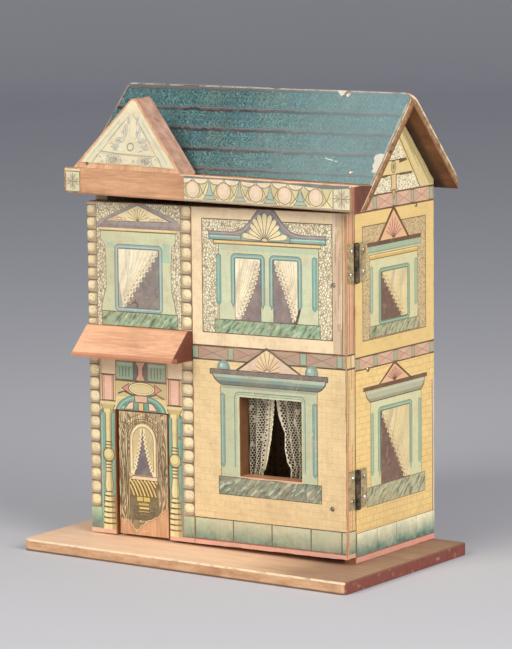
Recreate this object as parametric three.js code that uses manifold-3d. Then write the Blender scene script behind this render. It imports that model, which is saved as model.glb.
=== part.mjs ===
// Small paper-covered wooden dollhouse with a hinged front, two rooms, a gabled roof and a plank base.
// Millimetres, +Z up, origin at the middle of the footprint on the underside of the base. The front faces -Y.
import * as THREE from 'three';
import { mergeVertices } from 'three/addons/utils/BufferGeometryUtils.js';
import Module from 'manifold-3d';

const wasm = await Module();
wasm.setup();

// ---------- driving dimensions ----------
const BASE = { x: 125, yFront: -74, yRear: 68, top: 7.5, corner: 3 };
const FIT = 0.05;                 // play between boards and papers that lie on each other
const HALF_W = 100;               // half width of the house
const WALL_T = 8.5;               // side walls
const WALL_FRONT = -23.8;         // front edges of the side walls
const BACK_Y0 = 59.8, BACK_Y1 = 67.8;
const PANEL = { yFront: -33.5, yBack: -24.4, zLow: 9.74, zHigh: 227.4 };
const DROOP = 0.0188;             // the hinged front hangs a little low on its free side
const DOOR_HOLE = { x0: -80, x1: -36.6, z1: 92.4 };
const WINDOW = { x0: 19.2, x1: 66.6, z0: 56.5, z1: 107.4 };
const DOOR = { x0: -77.2, x1: -38.4, y0: -33.0, y1: -26.0, z0: 10.7, z1: 91.6 };
const DOOR_AXIS = { x: -40.0, y: -31.2 };
const FLOOR = { z0: 128, z1: 134 };
const RIDGE_Y = 22, RIDGE_Z = 300, PITCH = 47.8 * Math.PI / 180;
// the left-hand ends of the boards are sawn out of square (skew at the ridge) and the ridge falls that way
const ROOF = { x0: -109, x1: 115, tFront: 5.6, tRear: 5.2, frontZ: 231.8, rearY: 73.86, skew: 4.2, fall: 0.0088 };
const FASCIA = { x0: -108.8, x1: 115.6, yFront: -46.5, z0: 231.8, z1: 248.6, zBack: 246.4 };   // its top slopes back a little
const PEDIMENT = { x0: -100.6, x1: -15.4, z0: 248.7, z1: 293.9, thick: 15.6, lean: 0.194 };
const PORCH = { x0: -101, x1: -16.9, z0: 128.5, z1: 147.0, depth: 18.4 };
const PAPER = 0.4;
const HINGE = { x: 102.25, y: -24.15, r: 1.75, bore: 0.95, pin: 0.8, leaf: 0.8, h: 24.5, z: [185.2, 42.7] };
const LATCH = { y: -13, z: 118, x: -101.3, wire: 0.6, reach: 14.2, eyeY: -27.2 };

// ---------- helpers ----------
const tan = Math.tan(PITCH), sin = Math.sin(PITCH), cos = Math.cos(PITCH);
const roofTop = y => RIDGE_Z - tan * Math.abs(y - RIDGE_Y);
const AX = {
  xz: [new THREE.Vector3(1, 0, 0), new THREE.Vector3(0, 0, 1), new THREE.Vector3(0, -1, 0)],
  yz: [new THREE.Vector3(0, 1, 0), new THREE.Vector3(0, 0, 1), new THREE.Vector3(1, 0, 0)],
  xy: [new THREE.Vector3(1, 0, 0), new THREE.Vector3(0, 1, 0), new THREE.Vector3(0, 0, 1)],
};
function shapeOf(pts, holes = []) {
  const s = new THREE.Shape(pts.map(p => new THREE.Vector2(p[0], p[1])));
  for (const h of holes) s.holes.push(new THREE.Path(h.map(p => new THREE.Vector2(p[0], p[1]))));
  return s;
}
// a flat outline pushed between two planes: 'xz' along Y, 'yz' along X, 'xy' along Z
function prism(plane, pts, a, b, holes = [], curve = 8) {
  const g = new THREE.ExtrudeGeometry(shapeOf(pts, holes), { depth: b - a, bevelEnabled: false, curveSegments: curve });
  const [u, v, w] = AX[plane];
  const m = new THREE.Matrix4().makeBasis(u, v, w);
  const off = plane === 'xz' ? new THREE.Vector3(0, b, 0) : plane === 'yz' ? new THREE.Vector3(a, 0, 0) : new THREE.Vector3(0, 0, a);
  m.setPosition(off);
  return g.applyMatrix4(m);
}
const rect = (x0, y0, x1, y1) => [[x0, y0], [x1, y0], [x1, y1], [x0, y1]];
function roundRect(x0, y0, x1, y1, r, n = 4, which = [1, 1, 1, 1]) {
  const out = [];
  const c = [[x1 - r, y0 + r, -90, x1, y0], [x1 - r, y1 - r, 0, x1, y1], [x0 + r, y1 - r, 90, x0, y1], [x0 + r, y0 + r, 180, x0, y0]];
  c.forEach(([cx, cy, a0, sx, sy], i) => {
    if (!which[i]) { out.push([sx, sy]); return; }
    for (let k = 0; k <= n; k++) {
      const a = (a0 + 90 * k / n) * Math.PI / 180;
      out.push([cx + r * Math.cos(a), cy + r * Math.sin(a)]);
    }
  });
  return out;
}
function droop(g) {
  return g.applyMatrix4(new THREE.Matrix4().set(1, 0, 0, 0, 0, 1, 0, 0, DROOP, 0, 1, 0, 0, 0, 0, 1));
}
function toManifold(geo) {
  const g = geo.clone();
  g.deleteAttribute('normal'); g.deleteAttribute('uv');
  const m = mergeVertices(g, 1e-4);
  return new wasm.Manifold(new wasm.Mesh({
    numProp: 3,
    vertProperties: new Float32Array(m.attributes.position.array),
    triVerts: new Uint32Array(m.index.array),
  }));
}
function toGeometry(man) {
  const mesh = man.getMesh();
  const g = new THREE.BufferGeometry();
  const n = mesh.numProp, pos = [];
  for (let i = 0; i < mesh.vertProperties.length; i += n) pos.push(mesh.vertProperties[i], mesh.vertProperties[i + 1], mesh.vertProperties[i + 2]);
  g.setAttribute('position', new THREE.BufferAttribute(new Float32Array(pos), 3));
  g.setIndex(new THREE.BufferAttribute(new Uint32Array(mesh.triVerts), 1));
  g.computeVertexNormals();
  return g;
}
// a rod of n sides from point a to point b
function rod(a, b, r, n = 12) {
  const A = new THREE.Vector3(...a), B = new THREE.Vector3(...b), d = B.clone().sub(A);
  const g = new THREE.CylinderGeometry(r, r, d.length(), n);
  g.applyQuaternion(new THREE.Quaternion().setFromUnitVectors(new THREE.Vector3(0, 1, 0), d.clone().normalize()));
  const mid = A.clone().add(B).multiplyScalar(0.5);
  return g.translate(mid.x, mid.y, mid.z);
}
// a round-headed nail: seat is where the head meets the surface, dir points out of the wood
function nailShape(seat, dir, headR, headH, shankR, length, n = 10) {
  const prof = [[0, -length], [shankR * 0.25, -length], [shankR, -length + shankR * 2], [shankR, 0], [headR, 0], [headR, headH * 0.35], [headR * 0.72, headH * 0.8], [headR * 0.3, headH], [0, headH]];
  const g = new THREE.LatheGeometry(prof.map(p => new THREE.Vector2(p[0], p[1])), n);
  g.applyQuaternion(new THREE.Quaternion().setFromUnitVectors(new THREE.Vector3(0, 1, 0), new THREE.Vector3(...dir).normalize()));
  return g.translate(...seat);
}
function arc(cx, cy, r, a0, a1, n) {
  const out = [];
  for (let k = 0; k <= n; k++) { const a = (a0 + (a1 - a0) * k / n) * Math.PI / 180; out.push([cx + r * Math.cos(a), cy + r * Math.sin(a)]); }
  return out;
}

const solids = {};   // name -> { man, mat }
const MAT = {
  base: [0xc89a6a, 0.75, 0], wood: [0xb98d5e, 0.8, 0], body: [0xa87c52, 0.85, 0], roofwood: [0x8c5a36, 0.8, 0],
  paper: [0xd8cf9f, 0.6, 0], sidepaper: [0xe2c98a, 0.6, 0], roofpaper: [0x6f8f8c, 0.65, 0], wallpaper: [0xcbbd9a, 0.7, 0],
  brass: [0xb08d4f, 0.4, 0.9], steel: [0x8a857c, 0.5, 0.8], lace: [0xe6e0cf, 0.9, 0],
};
function put(name, geo, mat) { solids[name] = { man: geo instanceof THREE.BufferGeometry ? toManifold(geo) : geo, mat }; }
function cut(name, geo) { solids[name].man = solids[name].man.subtract(toManifold(geo)); }
// a nail and the holes that it makes in everything it goes through
function nail(name, seat, dir, { headR = 1.5, headH = 0.9, r = 0.55, len = 7, mat = 'steel', through = [] } = {}) {
  const d = new THREE.Vector3(...dir).normalize(), s = new THREE.Vector3(...seat).addScaledVector(d, 0.06);
  put(name, nailShape([s.x, s.y, s.z], dir, headR, headH, r, len), mat);
  const a = s.clone().addScaledVector(d, 1.0), b = s.clone().addScaledVector(d, -len - 0.4);
  for (const t of through) cut(t, rod([a.x, a.y, a.z], [b.x, b.y, b.z], r + 0.2, 8));
}

// ---------- carcass ----------
put('base_board', prism('xy', roundRect(-BASE.x, BASE.yFront, BASE.x, BASE.yRear, BASE.corner), 0, BASE.top), 'base');

const under = (y, t) => roofTop(y) - t / cos - 0.3;
const wallProfile = [
  [WALL_FRONT, BASE.top + FIT], [BACK_Y0 - 0.2, BASE.top + FIT], [BACK_Y0 - 0.2, under(BACK_Y0 - 0.2, ROOF.tRear)],
  [RIDGE_Y + 1.5, under(RIDGE_Y + 1.5, ROOF.tRear)], [RIDGE_Y, under(RIDGE_Y, ROOF.tFront)], [WALL_FRONT, under(WALL_FRONT, ROOF.tFront)],
];
put('side_wall_left', prism('yz', wallProfile, -HALF_W, -HALF_W + WALL_T), 'body');
put('side_wall_right', prism('yz', wallProfile, HALF_W - WALL_T, HALF_W), 'body');
put('back_wall', prism('yz', [[BACK_Y0, BASE.top + FIT], [BACK_Y1, BASE.top + FIT], [BACK_Y1, under(BACK_Y1, ROOF.tRear)], [BACK_Y0, under(BACK_Y0, ROOF.tRear)]], -HALF_W, HALF_W), 'body');
put('upper_floor', prism('xy', rect(-HALF_W + WALL_T + 0.1, WALL_FRONT, HALF_W - WALL_T - 0.1, BACK_Y0 - 0.1), FLOOR.z0, FLOOR.z1), 'body');

// ---------- roof: two sloping boards that meet in a plumb mitre at the ridge ----------
const sFront = (RIDGE_Z - ROOF.frontZ) / sin;
const sRear = (ROOF.rearY - RIDGE_Y) / cos;
const ridgeAt = x => RIDGE_Z - ROOF.fall * (ROOF.x1 - x);
const aboveRidge = toManifold(prism('xz', [[-160, ridgeAt(-160)], [160, ridgeAt(160)], [160, 400], [-160, 400]], -200, 200));
function slopeBoard(side, x0, x1, s0, s1, lift, t, rTop, rLow) {
  // outline in (x, distance down the slope), pushed along the slope's normal from lift-t to lift
  const pts = roundRect(x0, -s1, x1, -s0, Math.max(rTop, 0.01), 4, [0, 1, 1, 0]);
  for (const q of pts) if (q[0] < 0) q[0] += ROOF.skew * (1 + q[1] / sFront);
  const g = new THREE.ExtrudeGeometry(shapeOf(pts), { depth: t, bevelEnabled: false });
  g.translate(0, 0, lift - t);
  const up = new THREE.Vector3(0, side * cos, sin);        // up the slope (side +1: the front slope)
  const nrm = new THREE.Vector3(0, -side * sin, cos);
  const m = new THREE.Matrix4();
  if (side > 0) m.makeBasis(new THREE.Vector3(1, 0, 0), up, nrm);
  else {
    g.applyMatrix4(new THREE.Matrix4().makeRotationY(Math.PI)).translate(0, 0, 2 * lift - t);
    m.makeBasis(new THREE.Vector3(-1, 0, 0), up, nrm);
  }
  m.setPosition(0, RIDGE_Y, RIDGE_Z);
  return g.applyMatrix4(m);
}
{
  let f = toManifold(slopeBoard(1, ROOF.x0, ROOF.x1, 0, sFront + 12, 0, ROOF.tFront, 7));
  f = f.subtract(toManifold(prism('yz', [[-90, 150], [RIDGE_Y + 40, 150], [RIDGE_Y + 40, 320], [RIDGE_Y - 0.06, 320], [RIDGE_Y - 0.06, ROOF.frontZ], [-90, ROOF.frontZ]], -160, 160)));
  put('roof_board_front', f.subtract(aboveRidge), 'roofwood');
  let r = toManifold(slopeBoard(-1, ROOF.x0, ROOF.x1, 0, sRear + 12, 0, ROOF.tRear, 7));
  r = r.subtract(toManifold(prism('yz', rect(-90, 150, RIDGE_Y + 0.06, 320), -160, 160)));
  // the foot is sawn plumb and its upper arris is worn round
  const ye = ROOF.rearY;
  r = r.subtract(toManifold(prism('yz', [[ye, 150], [ye + 60, 150], [ye + 60, 330], [ye - 3.4, 330], [ye - 3.4, roofTop(ye - 3.4)], [ye - 1.2, roofTop(ye - 1.2) - 0.5], [ye, roofTop(ye) - 2.4]], -160, 160)));
  put('roof_board_rear', r.subtract(aboveRidge), 'roofwood');
}

// ---------- wedge-shaped cornice along the front eave, and the triangular ornament that stands on it ----------
{
  const yb = z => RIDGE_Y - (RIDGE_Z - z) / tan - 0.28;
  let f = toManifold(prism('yz', [[FASCIA.yFront, FASCIA.z0], [yb(FASCIA.z0), FASCIA.z0], [yb(FASCIA.zBack), FASCIA.zBack], [FASCIA.yFront, FASCIA.z1]], FASCIA.x0, FASCIA.x1));
  // rounded ends, seen from above and, at the left-hand end, also from the front
  const { x0, x1, yFront, z0, z1 } = FASCIA;
  f = f.intersect(toManifold(prism('xy', [...arc(x0 + 1.5, yFront + 1.5, 1.5, 180, 270, 3), ...arc(x1 - 2.6, yFront + 2.6, 2.6, 270, 360, 5), [x1, 10], [x0, 10]], 200, 270)));
  f = f.intersect(toManifold(prism('xz', [...arc(x0 + 5, z0 + 5, 5, 180, 270, 6), [x1, z0], [x1, z1], ...arc(x0 + 2, z1 - 2, 2, 90, 180, 3)], -60, 20)));
  put('eave_fascia', f, 'base');
}
const lean = g => g.applyMatrix4(new THREE.Matrix4().set(1, 0, 0, 0, 0, 1, PEDIMENT.lean, -PEDIMENT.lean * PEDIMENT.z0, 0, 0, 1, 0, 0, 0, 0, 1));
const pedX = (PEDIMENT.x0 + PEDIMENT.x1) / 2;
const pedOutline = (inset, low) => [
  [PEDIMENT.x0 + inset * 1.9, PEDIMENT.z0 + low], [PEDIMENT.x1 - inset * 1.9, PEDIMENT.z0 + low],
  [pedX + 5.5 - inset * 0.6, PEDIMENT.z1 - 4.2 - inset], [pedX + 3.6 - inset * 0.5, PEDIMENT.z1 - 1.9 - inset], [pedX + 1.8 - inset * 0.3, PEDIMENT.z1 - 0.5 - inset], [pedX, PEDIMENT.z1 - inset],
  [pedX - 1.8 + inset * 0.3, PEDIMENT.z1 - 0.5 - inset], [pedX - 3.6 + inset * 0.5, PEDIMENT.z1 - 1.9 - inset], [pedX - 5.5 + inset * 0.6, PEDIMENT.z1 - 4.2 - inset],
];
{
  // its underside is planed to the slope of the cornice block's top
  const low = [[PEDIMENT.x0, PEDIMENT.z0 - 2.6], [PEDIMENT.x1, PEDIMENT.z0 - 2.6]];
  const g = toManifold(lean(prism('xz', [...low, ...pedOutline(0, 0).slice(1), pedOutline(0, 0)[0]], FASCIA.yFront, FASCIA.yFront + PEDIMENT.thick)));
  const slope = (FASCIA.zBack - FASCIA.z1) / (RIDGE_Y - (RIDGE_Z - FASCIA.zBack) / tan - 0.28 - FASCIA.yFront);
  const seat = y => FASCIA.z1 + slope * (y - FASCIA.yFront) + 0.1;
  put('gable_pediment', g.subtract(toManifold(prism('yz', [[-60, 200], [20, 200], [20, seat(20)], [-60, seat(-60)]], -160, 160))), 'base');
}

// ---------- hinged front ----------
const panelOutline = [
  [-HALF_W, PANEL.zLow], [DOOR_HOLE.x0, PANEL.zLow], [DOOR_HOLE.x0, DOOR_HOLE.z1], [DOOR_HOLE.x1, DOOR_HOLE.z1], [DOOR_HOLE.x1, PANEL.zLow],
  [HALF_W, PANEL.zLow], [HALF_W, PANEL.zHigh], [-HALF_W, PANEL.zHigh],
];
const windowHole = rect(WINDOW.x0, WINDOW.z0, WINDOW.x1, WINDOW.z1).reverse();
put('front_panel', droop(prism('xz', panelOutline, PANEL.yFront, PANEL.yBack, [windowHole])), 'body');
put('porch_roof', droop(prism('yz', [
  [PANEL.yFront - 0.1, PORCH.z0], [PANEL.yFront - 0.1, PORCH.z1], [PANEL.yFront - 1.6, PORCH.z1 - 0.6],
  [PANEL.yFront - PORCH.depth, PORCH.z0 + 1.5], [PANEL.yFront - PORCH.depth + 0.3, PORCH.z0]].reverse(), PORCH.x0, PORCH.x1)), 'base');

// the door and its two wire pivots
put('front_door', droop(prism('xz', rect(DOOR.x0, DOOR.z0, DOOR.x1, DOOR.z1), DOOR.y0, DOOR.y1)), 'wood');
{
  const zt = DOOR.z1 + DROOP * DOOR_AXIS.x, zb = DOOR.z0 + DROOP * DOOR_AXIS.x, { x, y } = DOOR_AXIS;
  put('door_pivot_upper', rod([x, y, zt - 7], [x, y, zt + 5], 0.6, 10), 'steel');
  cut('front_door', rod([x, y, zt - 7.2], [x, y, zt + 2], 0.8, 10));
  cut('front_panel', rod([x, y, zt - 1], [x, y, zt + 5.4], 0.95, 10));
  const path = new THREE.CurvePath();
  path.add(new THREE.LineCurve3(new THREE.Vector3(x, y, zb + 6), new THREE.Vector3(x, y, zb + 0.1)));
  path.add(new THREE.QuadraticBezierCurve3(new THREE.Vector3(x, y, zb + 0.1), new THREE.Vector3(x, y, zb - 0.75), new THREE.Vector3(x + 0.9, y, zb - 0.75)));
  path.add(new THREE.LineCurve3(new THREE.Vector3(x + 0.9, y, zb - 0.75), new THREE.Vector3(x + 7.2, y, zb - 0.75)));
  const sec = new THREE.Shape(arc(0, 0, 0.5, 0, 315, 7).map(p => new THREE.Vector2(...p)));
  put('door_pintle_lower', new THREE.ExtrudeGeometry(sec, { steps: 24, extrudePath: path, bevelEnabled: false }), 'steel');
  cut('front_door', rod([x, y, zb - 2], [x, y, zb + 6.3], 0.8, 10));
  cut('front_panel', prism('xz', rect(DOOR_HOLE.x1 - 2, 0, x + 7.6, zb - 0.05), y - 0.7, y + 0.7));
}

// ---------- printed papers ----------
const pf = PANEL.yFront;
put('front_paper_gable_bay', droop(prism('xz', rect(-HALF_W + 0.2, PORCH.z1 + 0.3, -17.0, PANEL.zHigh - 0.2), pf - FIT - PAPER, pf - FIT)), 'paper');
put('front_paper_entrance', droop(prism('xz', [
  [-HALF_W + 0.2, PANEL.zLow + 0.1], [DOOR_HOLE.x0 - 0.1, PANEL.zLow + 0.1], [DOOR_HOLE.x0 - 0.1, DOOR_HOLE.z1 + 0.1], [DOOR_HOLE.x1 + 0.1, DOOR_HOLE.z1 + 0.1], [DOOR_HOLE.x1 + 0.1, PANEL.zLow + 0.1],
  [-17.0, PANEL.zLow + 0.1], [-17.0, PORCH.z0 - 0.3], [-HALF_W + 0.2, PORCH.z0 - 0.3]], pf - FIT - PAPER, pf - FIT)), 'paper');
put('front_paper_twin_window', droop(prism('xz', rect(-16.7, 138.6, HALF_W - 0.1, PANEL.zHigh - 0.2), pf - FIT - PAPER, pf - FIT)), 'paper');
put('front_paper_parlour', droop(prism('xz', rect(-16.7, PANEL.zLow + 0.1, HALF_W - 0.1, 138.4), pf - FIT - PAPER, pf - FIT,
  [rect(WINDOW.x0 - 0.1, WINDOW.z0 - 0.1, WINDOW.x1 + 0.1, WINDOW.z1 + 0.1).reverse()])), 'paper');
put('panel_edge_paper', droop(prism('xz', rect(HALF_W + FIT, PANEL.zLow + 0.2, HALF_W + FIT + PAPER, PANEL.zHigh - 0.2), PANEL.yFront + 0.1, PANEL.yBack - 0.1)), 'paper');
put('door_paper', droop(prism('xz', rect(DOOR.x0 + 0.1, DOOR.z0 + 0.1, DOOR.x1 - 0.1, DOOR.z1 - 0.1), DOOR.y0 - FIT - PAPER, DOOR.y0 - FIT)), 'paper');
const sideOutline = [
  [WALL_FRONT, BASE.top + 0.2], [BACK_Y1, BASE.top + 0.2], [BACK_Y1, under(BACK_Y1, ROOF.tRear) - 0.2],
  [RIDGE_Y + 1.5, under(RIDGE_Y + 1.5, ROOF.tRear) - 0.2], [RIDGE_Y, under(RIDGE_Y, ROOF.tFront) - 0.2], [WALL_FRONT, under(WALL_FRONT, ROOF.tFront) - 0.2]];
put('side_paper_right', prism('yz', sideOutline, HALF_W + FIT, HALF_W + FIT + PAPER), 'sidepaper');
put('side_paper_left', prism('yz', sideOutline, -HALF_W - FIT - PAPER, -HALF_W - FIT), 'sidepaper');
{
  const sLow = (RIDGE_Z - FASCIA.zBack) / sin - 0.4;
  const clear = toManifold(prism('yz', rect(RIDGE_Y - 0.05, 150, RIDGE_Y + 0.05, 320), -160, 160));
  put('roof_paper_front', toManifold(slopeBoard(1, ROOF.x0 + 0.3, ROOF.x1 - 0.3, 0.35, sLow, FIT + PAPER, PAPER, 7)).subtract(clear).subtract(aboveRidge), 'roofpaper');
  put('roof_paper_rear', toManifold(slopeBoard(-1, ROOF.x0 + 0.3, ROOF.x1 - 0.3, 0.35, sRear - 3.6 / cos, FIT + PAPER, PAPER, 7)).subtract(clear).subtract(aboveRidge), 'roofpaper');
}
const ff = FASCIA.yFront;
put('fascia_paper_left', prism('xz', [[-104.6, FASCIA.z0 + 0.4], [-94.8, FASCIA.z0 + 0.4], [-94.8, FASCIA.z1 - 0.6], [-107.2, FASCIA.z1 - 0.6], [-107.2, 235.8], [-106.6, 233.7]], ff - FIT - PAPER, ff - FIT), 'paper');
put('fascia_paper_right', prism('xz', rect(-12.8, FASCIA.z0 + 0.4, FASCIA.x1 - 2.8, FASCIA.z1 - 0.6), ff - FIT - PAPER, ff - FIT), 'paper');
put('pediment_paper', lean(prism('xz', pedOutline(1.2, 1.0), ff - FIT - PAPER, ff - FIT)), 'paper');
// wallpaper of each room: one sheet folded round three walls
function liner(z0, z1) {
  const xi = HALF_W - WALL_T - FIT, yb = BACK_Y0 - 0.1 - FIT, t = 0.3;
  return prism('xy', [[-xi, WALL_FRONT + 0.5], [-xi + t, WALL_FRONT + 0.5], [-xi + t, yb - t], [xi - t, yb - t], [xi - t, WALL_FRONT + 0.5], [xi, WALL_FRONT + 0.5], [xi, yb], [-xi, yb]].reverse(), z0, z1);
}
cut('upper_floor', prism('xy', rect(-200, 59.4, 200, 70), 120, 140));
put('wallpaper_lower', liner(BASE.top + 0.3, FLOOR.z0 - 0.3), 'wallpaper');
put('wallpaper_upper', liner(FLOOR.z1 + 0.3, 236), 'wallpaper');

// ---------- lace curtains behind the open window, on a strip of tape ----------
{
  const y0 = -22.0, y1 = -19.6;
  put('curtain_strip', droop(prism('xz', rect(14, 109.6, 72, 113.8), -24.3, -19.4)), 'wood');
  // swept apart below: outer edge, then the lace edge
  const L = [[14.5, 109.3], [37.0, 109.3], [36.6, 102], [36.0, 88], [33.2, 75], [31.6, 63], [28.4, 57], [28.6, 52.5], [18.6, 52.5], [16.6, 62], [15.4, 80]];
  const R = [[38.2, 109.3], [64.0, 109.3], [63.6, 80], [62.6, 62], [61.6, 52.5], [49.2, 52.5], [49.6, 57], [50.4, 62], [47.4, 67], [45.0, 76], [44.3, 84], [40.7, 91], [38.8, 103]];
  put('curtain_left', droop(prism('xz', L.slice().reverse(), y0, y1)), 'lace');
  put('curtain_right', droop(prism('xz', R.slice().reverse(), y0, y1)), 'lace');
}

// ---------- butt hinges at the right-hand corner ----------
function ringSection(sign) {
  // plate running to the barrel and a full ring round the pin; sign -1: the plate goes to -Y
  const { x, y, r } = HINGE, out = [], xi = HALF_W + FIT + PAPER + 0.05, xo = xi + HINGE.leaf;
  const pts = arc(x, y, r, 0, 360 - 22.5, 15);
  const ring = prism('xy', pts, 0, 1, [arc(x, y, HINGE.bore, 0, 360 - 22.5, 15).reverse()]);
  const y0 = sign < 0 ? y - r - 0.6 : y + HINGE.bore * 0.2, y1 = sign < 0 ? y - HINGE.bore * 0.2 : y + r + 0.6;
  return { ring, plate: prism('xy', rect(xi, y0, xo, y1), 0, 1) };
}
function hinge(tag, z0, iz) {
  const { x, y, r, bore, leaf, h } = HINGE, xi = HALF_W + FIT + PAPER + 0.05, xo = xi + leaf;
  const seg = (h - 0.4) / 3, z = [z0, z0 + seg + 0.2, z0 + 2 * (seg + 0.2)];
  const place = (g, zz) => toManifold(g.clone().scale(1, 1, seg).translate(0, 0, zz));
  const boreCut = toManifold(rod([x, y, z0 - 1], [x, y, z0 + h + 1], bore, 16));
  // panel leaf: outer knuckles
  let a = toManifold(prism('xy', rect(xi, -32.2, xo, y - r - 0.35), z0, z0 + h));
  const sa = ringSection(-1);
  for (const k of [0, 2]) a = a.add(place(sa.ring, z[k])).add(place(sa.plate, z[k]));
  put(`hinge_${tag}_panel_leaf`, a.subtract(boreCut), 'brass');
  // wall leaf: middle knuckle
  let b = toManifold(prism('xy', rect(xi, y + r + 0.35, xo, -12.6), z0, z0 + h));
  const sb = ringSection(1);
  b = b.add(place(sb.ring, z[1])).add(place(sb.plate, z[1]));
  put(`hinge_${tag}_wall_leaf`, b.subtract(boreCut), 'brass');
  put(`hinge_${tag}_pin`, rod([x, y, z0 - 0.5], [x, y, z0 + h + 0.5], HINGE.pin, 12), 'steel');
  const o = { headR: 1.6, headH: 0.8, r: 0.5, len: 7, mat: 'steel' };
  nail(`hinge_${tag}_panel_nail_a`, [xo, -28.2, z0 + h - 4.6], [1, 0, 0], { ...o, through: [`hinge_${tag}_panel_leaf`, 'panel_edge_paper', 'front_panel'] });
  nail(`hinge_${tag}_panel_nail_b`, [xo, -29.4, z0 + 5.2], [1, 0, 0], { ...o, through: [`hinge_${tag}_panel_leaf`, 'panel_edge_paper', 'front_panel'] });
  nail(`hinge_${tag}_wall_nail_a`, [xo, -15.4, z0 + h - 5.0], [1, 0, 0], { ...o, through: [`hinge_${tag}_wall_leaf`, 'side_paper_right', 'side_wall_right'] });
  nail(`hinge_${tag}_wall_nail_b`, [xo, -15.2, z0 + 6.2], [1, 0, 0], { ...o, through: [`hinge_${tag}_wall_leaf`, 'side_paper_right', 'side_wall_right'] });
}
hinge('upper', HINGE.z[0]);
hinge('lower', HINGE.z[1]);

// ---------- nails that hold the boards ----------
const front = -PAPER - FIT + pf, side = HALF_W + PAPER + FIT;
nail('panel_nail_middle', [91.4, front, 182.5 + DROOP * 91.4], [0, -1, 0], { through: ['front_paper_twin_window', 'front_panel'] });
nail('panel_nail_low', [89.5, front, 41.4 + DROOP * 89.5], [0, -1, 0], { through: ['front_paper_parlour', 'front_panel'] });
nail('panel_nail_jamb', [-27.7, front, 77.4 + DROOP * -27.7], [0, -1, 0], { headR: 1.1, headH: 0.7, through: ['front_paper_entrance', 'front_panel'] });
nail('pediment_nail', [-89.6, FASCIA.yFront + 0.194 * 3.0 - PAPER - FIT, 251.7], [0, -1, 0.194], { headR: 1.0, headH: 0.5, r: 0.45, len: 9, through: ['pediment_paper', 'gable_pediment'] });
nail('door_knob', [-67.8, DOOR.y0 - FIT - PAPER, 48.6], [0, -1, 0], { headR: 1.5, headH: 1.6, len: 5.5, mat: 'brass', through: ['door_paper', 'front_door'] });
nail('wall_nail_high', [side, 46.5, 226.5], [1, 0, 0], { headR: 1.3, through: ['side_paper_right', 'side_wall_right'] });
nail('wall_nail_low', [side, -9.9, 129.0], [1, 0, 0], { headR: 1.6, len: 12, through: ['side_paper_right', 'side_wall_right', 'upper_floor', 'wallpaper_lower', 'wallpaper_upper'] });
{
  const n = [0, -sin, cos];
  const onSlope = (x, s, lift) => [x, RIDGE_Y - s * cos - sin * lift, RIDGE_Z - s * sin + cos * lift];
  nail('roof_nail_ridge', onSlope(68.0, 3.7, PAPER + FIT), n, { headR: 2.5, headH: 1.0, len: 8, through: ['roof_paper_front', 'roof_board_front', 'roof_board_rear'] });
  nail('roof_nail_eave', onSlope(96.0, 63.4, PAPER + FIT), n, { headR: 1.7, headH: 1.0, len: 9, through: ['roof_paper_front', 'roof_board_front', 'side_wall_right', 'side_paper_right'] });
}

// ---------- hook catch on the left-hand corner (hanging open) ----------
{
  const { y, z, x, wire, reach } = LATCH;
  const loopR = 1.75, pts = [];
  // eye round the nail, then the shank down to the open hook at its end
  for (let k = 0; k <= 14; k++) { const a = (-52 + 318 * k / 14) * Math.PI / 180; pts.push(new THREE.Vector3(x, y + loopR * Math.cos(a), z + loopR * Math.sin(a))); }
  pts.push(new THREE.Vector3(x, y - 0.05, z - 3.6));
  for (const d of [5.5, 8, 10.5]) pts.push(new THREE.Vector3(x, y, z - d));
  // open end: bends round the place of the catch nail and drops over it from above when it is swung forward
  const hr = 1.75;
  for (const a of [90, 120, 150, 180, 210, 240, 270, 290]) { const t = a * Math.PI / 180; pts.push(new THREE.Vector3(x, y + hr * Math.cos(t), z - reach + hr * Math.sin(t))); }
  const curve = new THREE.CatmullRomCurve3(pts, false, 'centripetal');
  const sec = new THREE.Shape(arc(0, 0, wire, 0, 315, 7).map(p => new THREE.Vector2(...p)));
  put('latch_hook', new THREE.ExtrudeGeometry(sec, { steps: 76, extrudePath: curve, bevelEnabled: false }), 'brass');
  const wallX = -HALF_W - FIT - PAPER;
  // nail with a collar length outside the wall, so the eye turns freely under its head
  const g = nailShape([x - wire - 0.25, y, z], [-1, 0, 0], 2.0, 0.8, 0.75, 8.5, 12);
  put('latch_hook_nail', g, 'brass');
  cut('side_wall_left', rod([-HALF_W - 1, y, z], [x - wire + 8.9, y, z], 0.95, 8));
  cut('side_paper_left', rod([wallX - 1, y, z], [x - wire + 8.9, y, z], 0.95, 8));
  const e = nailShape([x - wire - 0.25, LATCH.eyeY, z], [-1, 0, 0], 1.5, 0.8, 0.7, 8.5, 12);
  put('latch_catch_nail', e, 'brass');
  cut('front_panel', rod([-HALF_W - 1, LATCH.eyeY, z], [x - wire + 8.9, LATCH.eyeY, z], 0.9, 8));
}

// ---------- the assembled object ----------
const group = new THREE.Group();
const materials = {};
for (const [name, { man, mat }] of Object.entries(solids)) {
  const [color, roughness, metalness] = MAT[mat];
  materials[mat] ??= new THREE.MeshStandardMaterial({ color, roughness, metalness });
  const mesh = new THREE.Mesh(toGeometry(man), materials[mat]);
  mesh.name = name;
  group.add(mesh);
}
export default group;
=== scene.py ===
import bpy, bmesh, math, random
from mathutils import Vector, Matrix, noise
from mathutils.geometry import delaunay_2d_cdt


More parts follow.
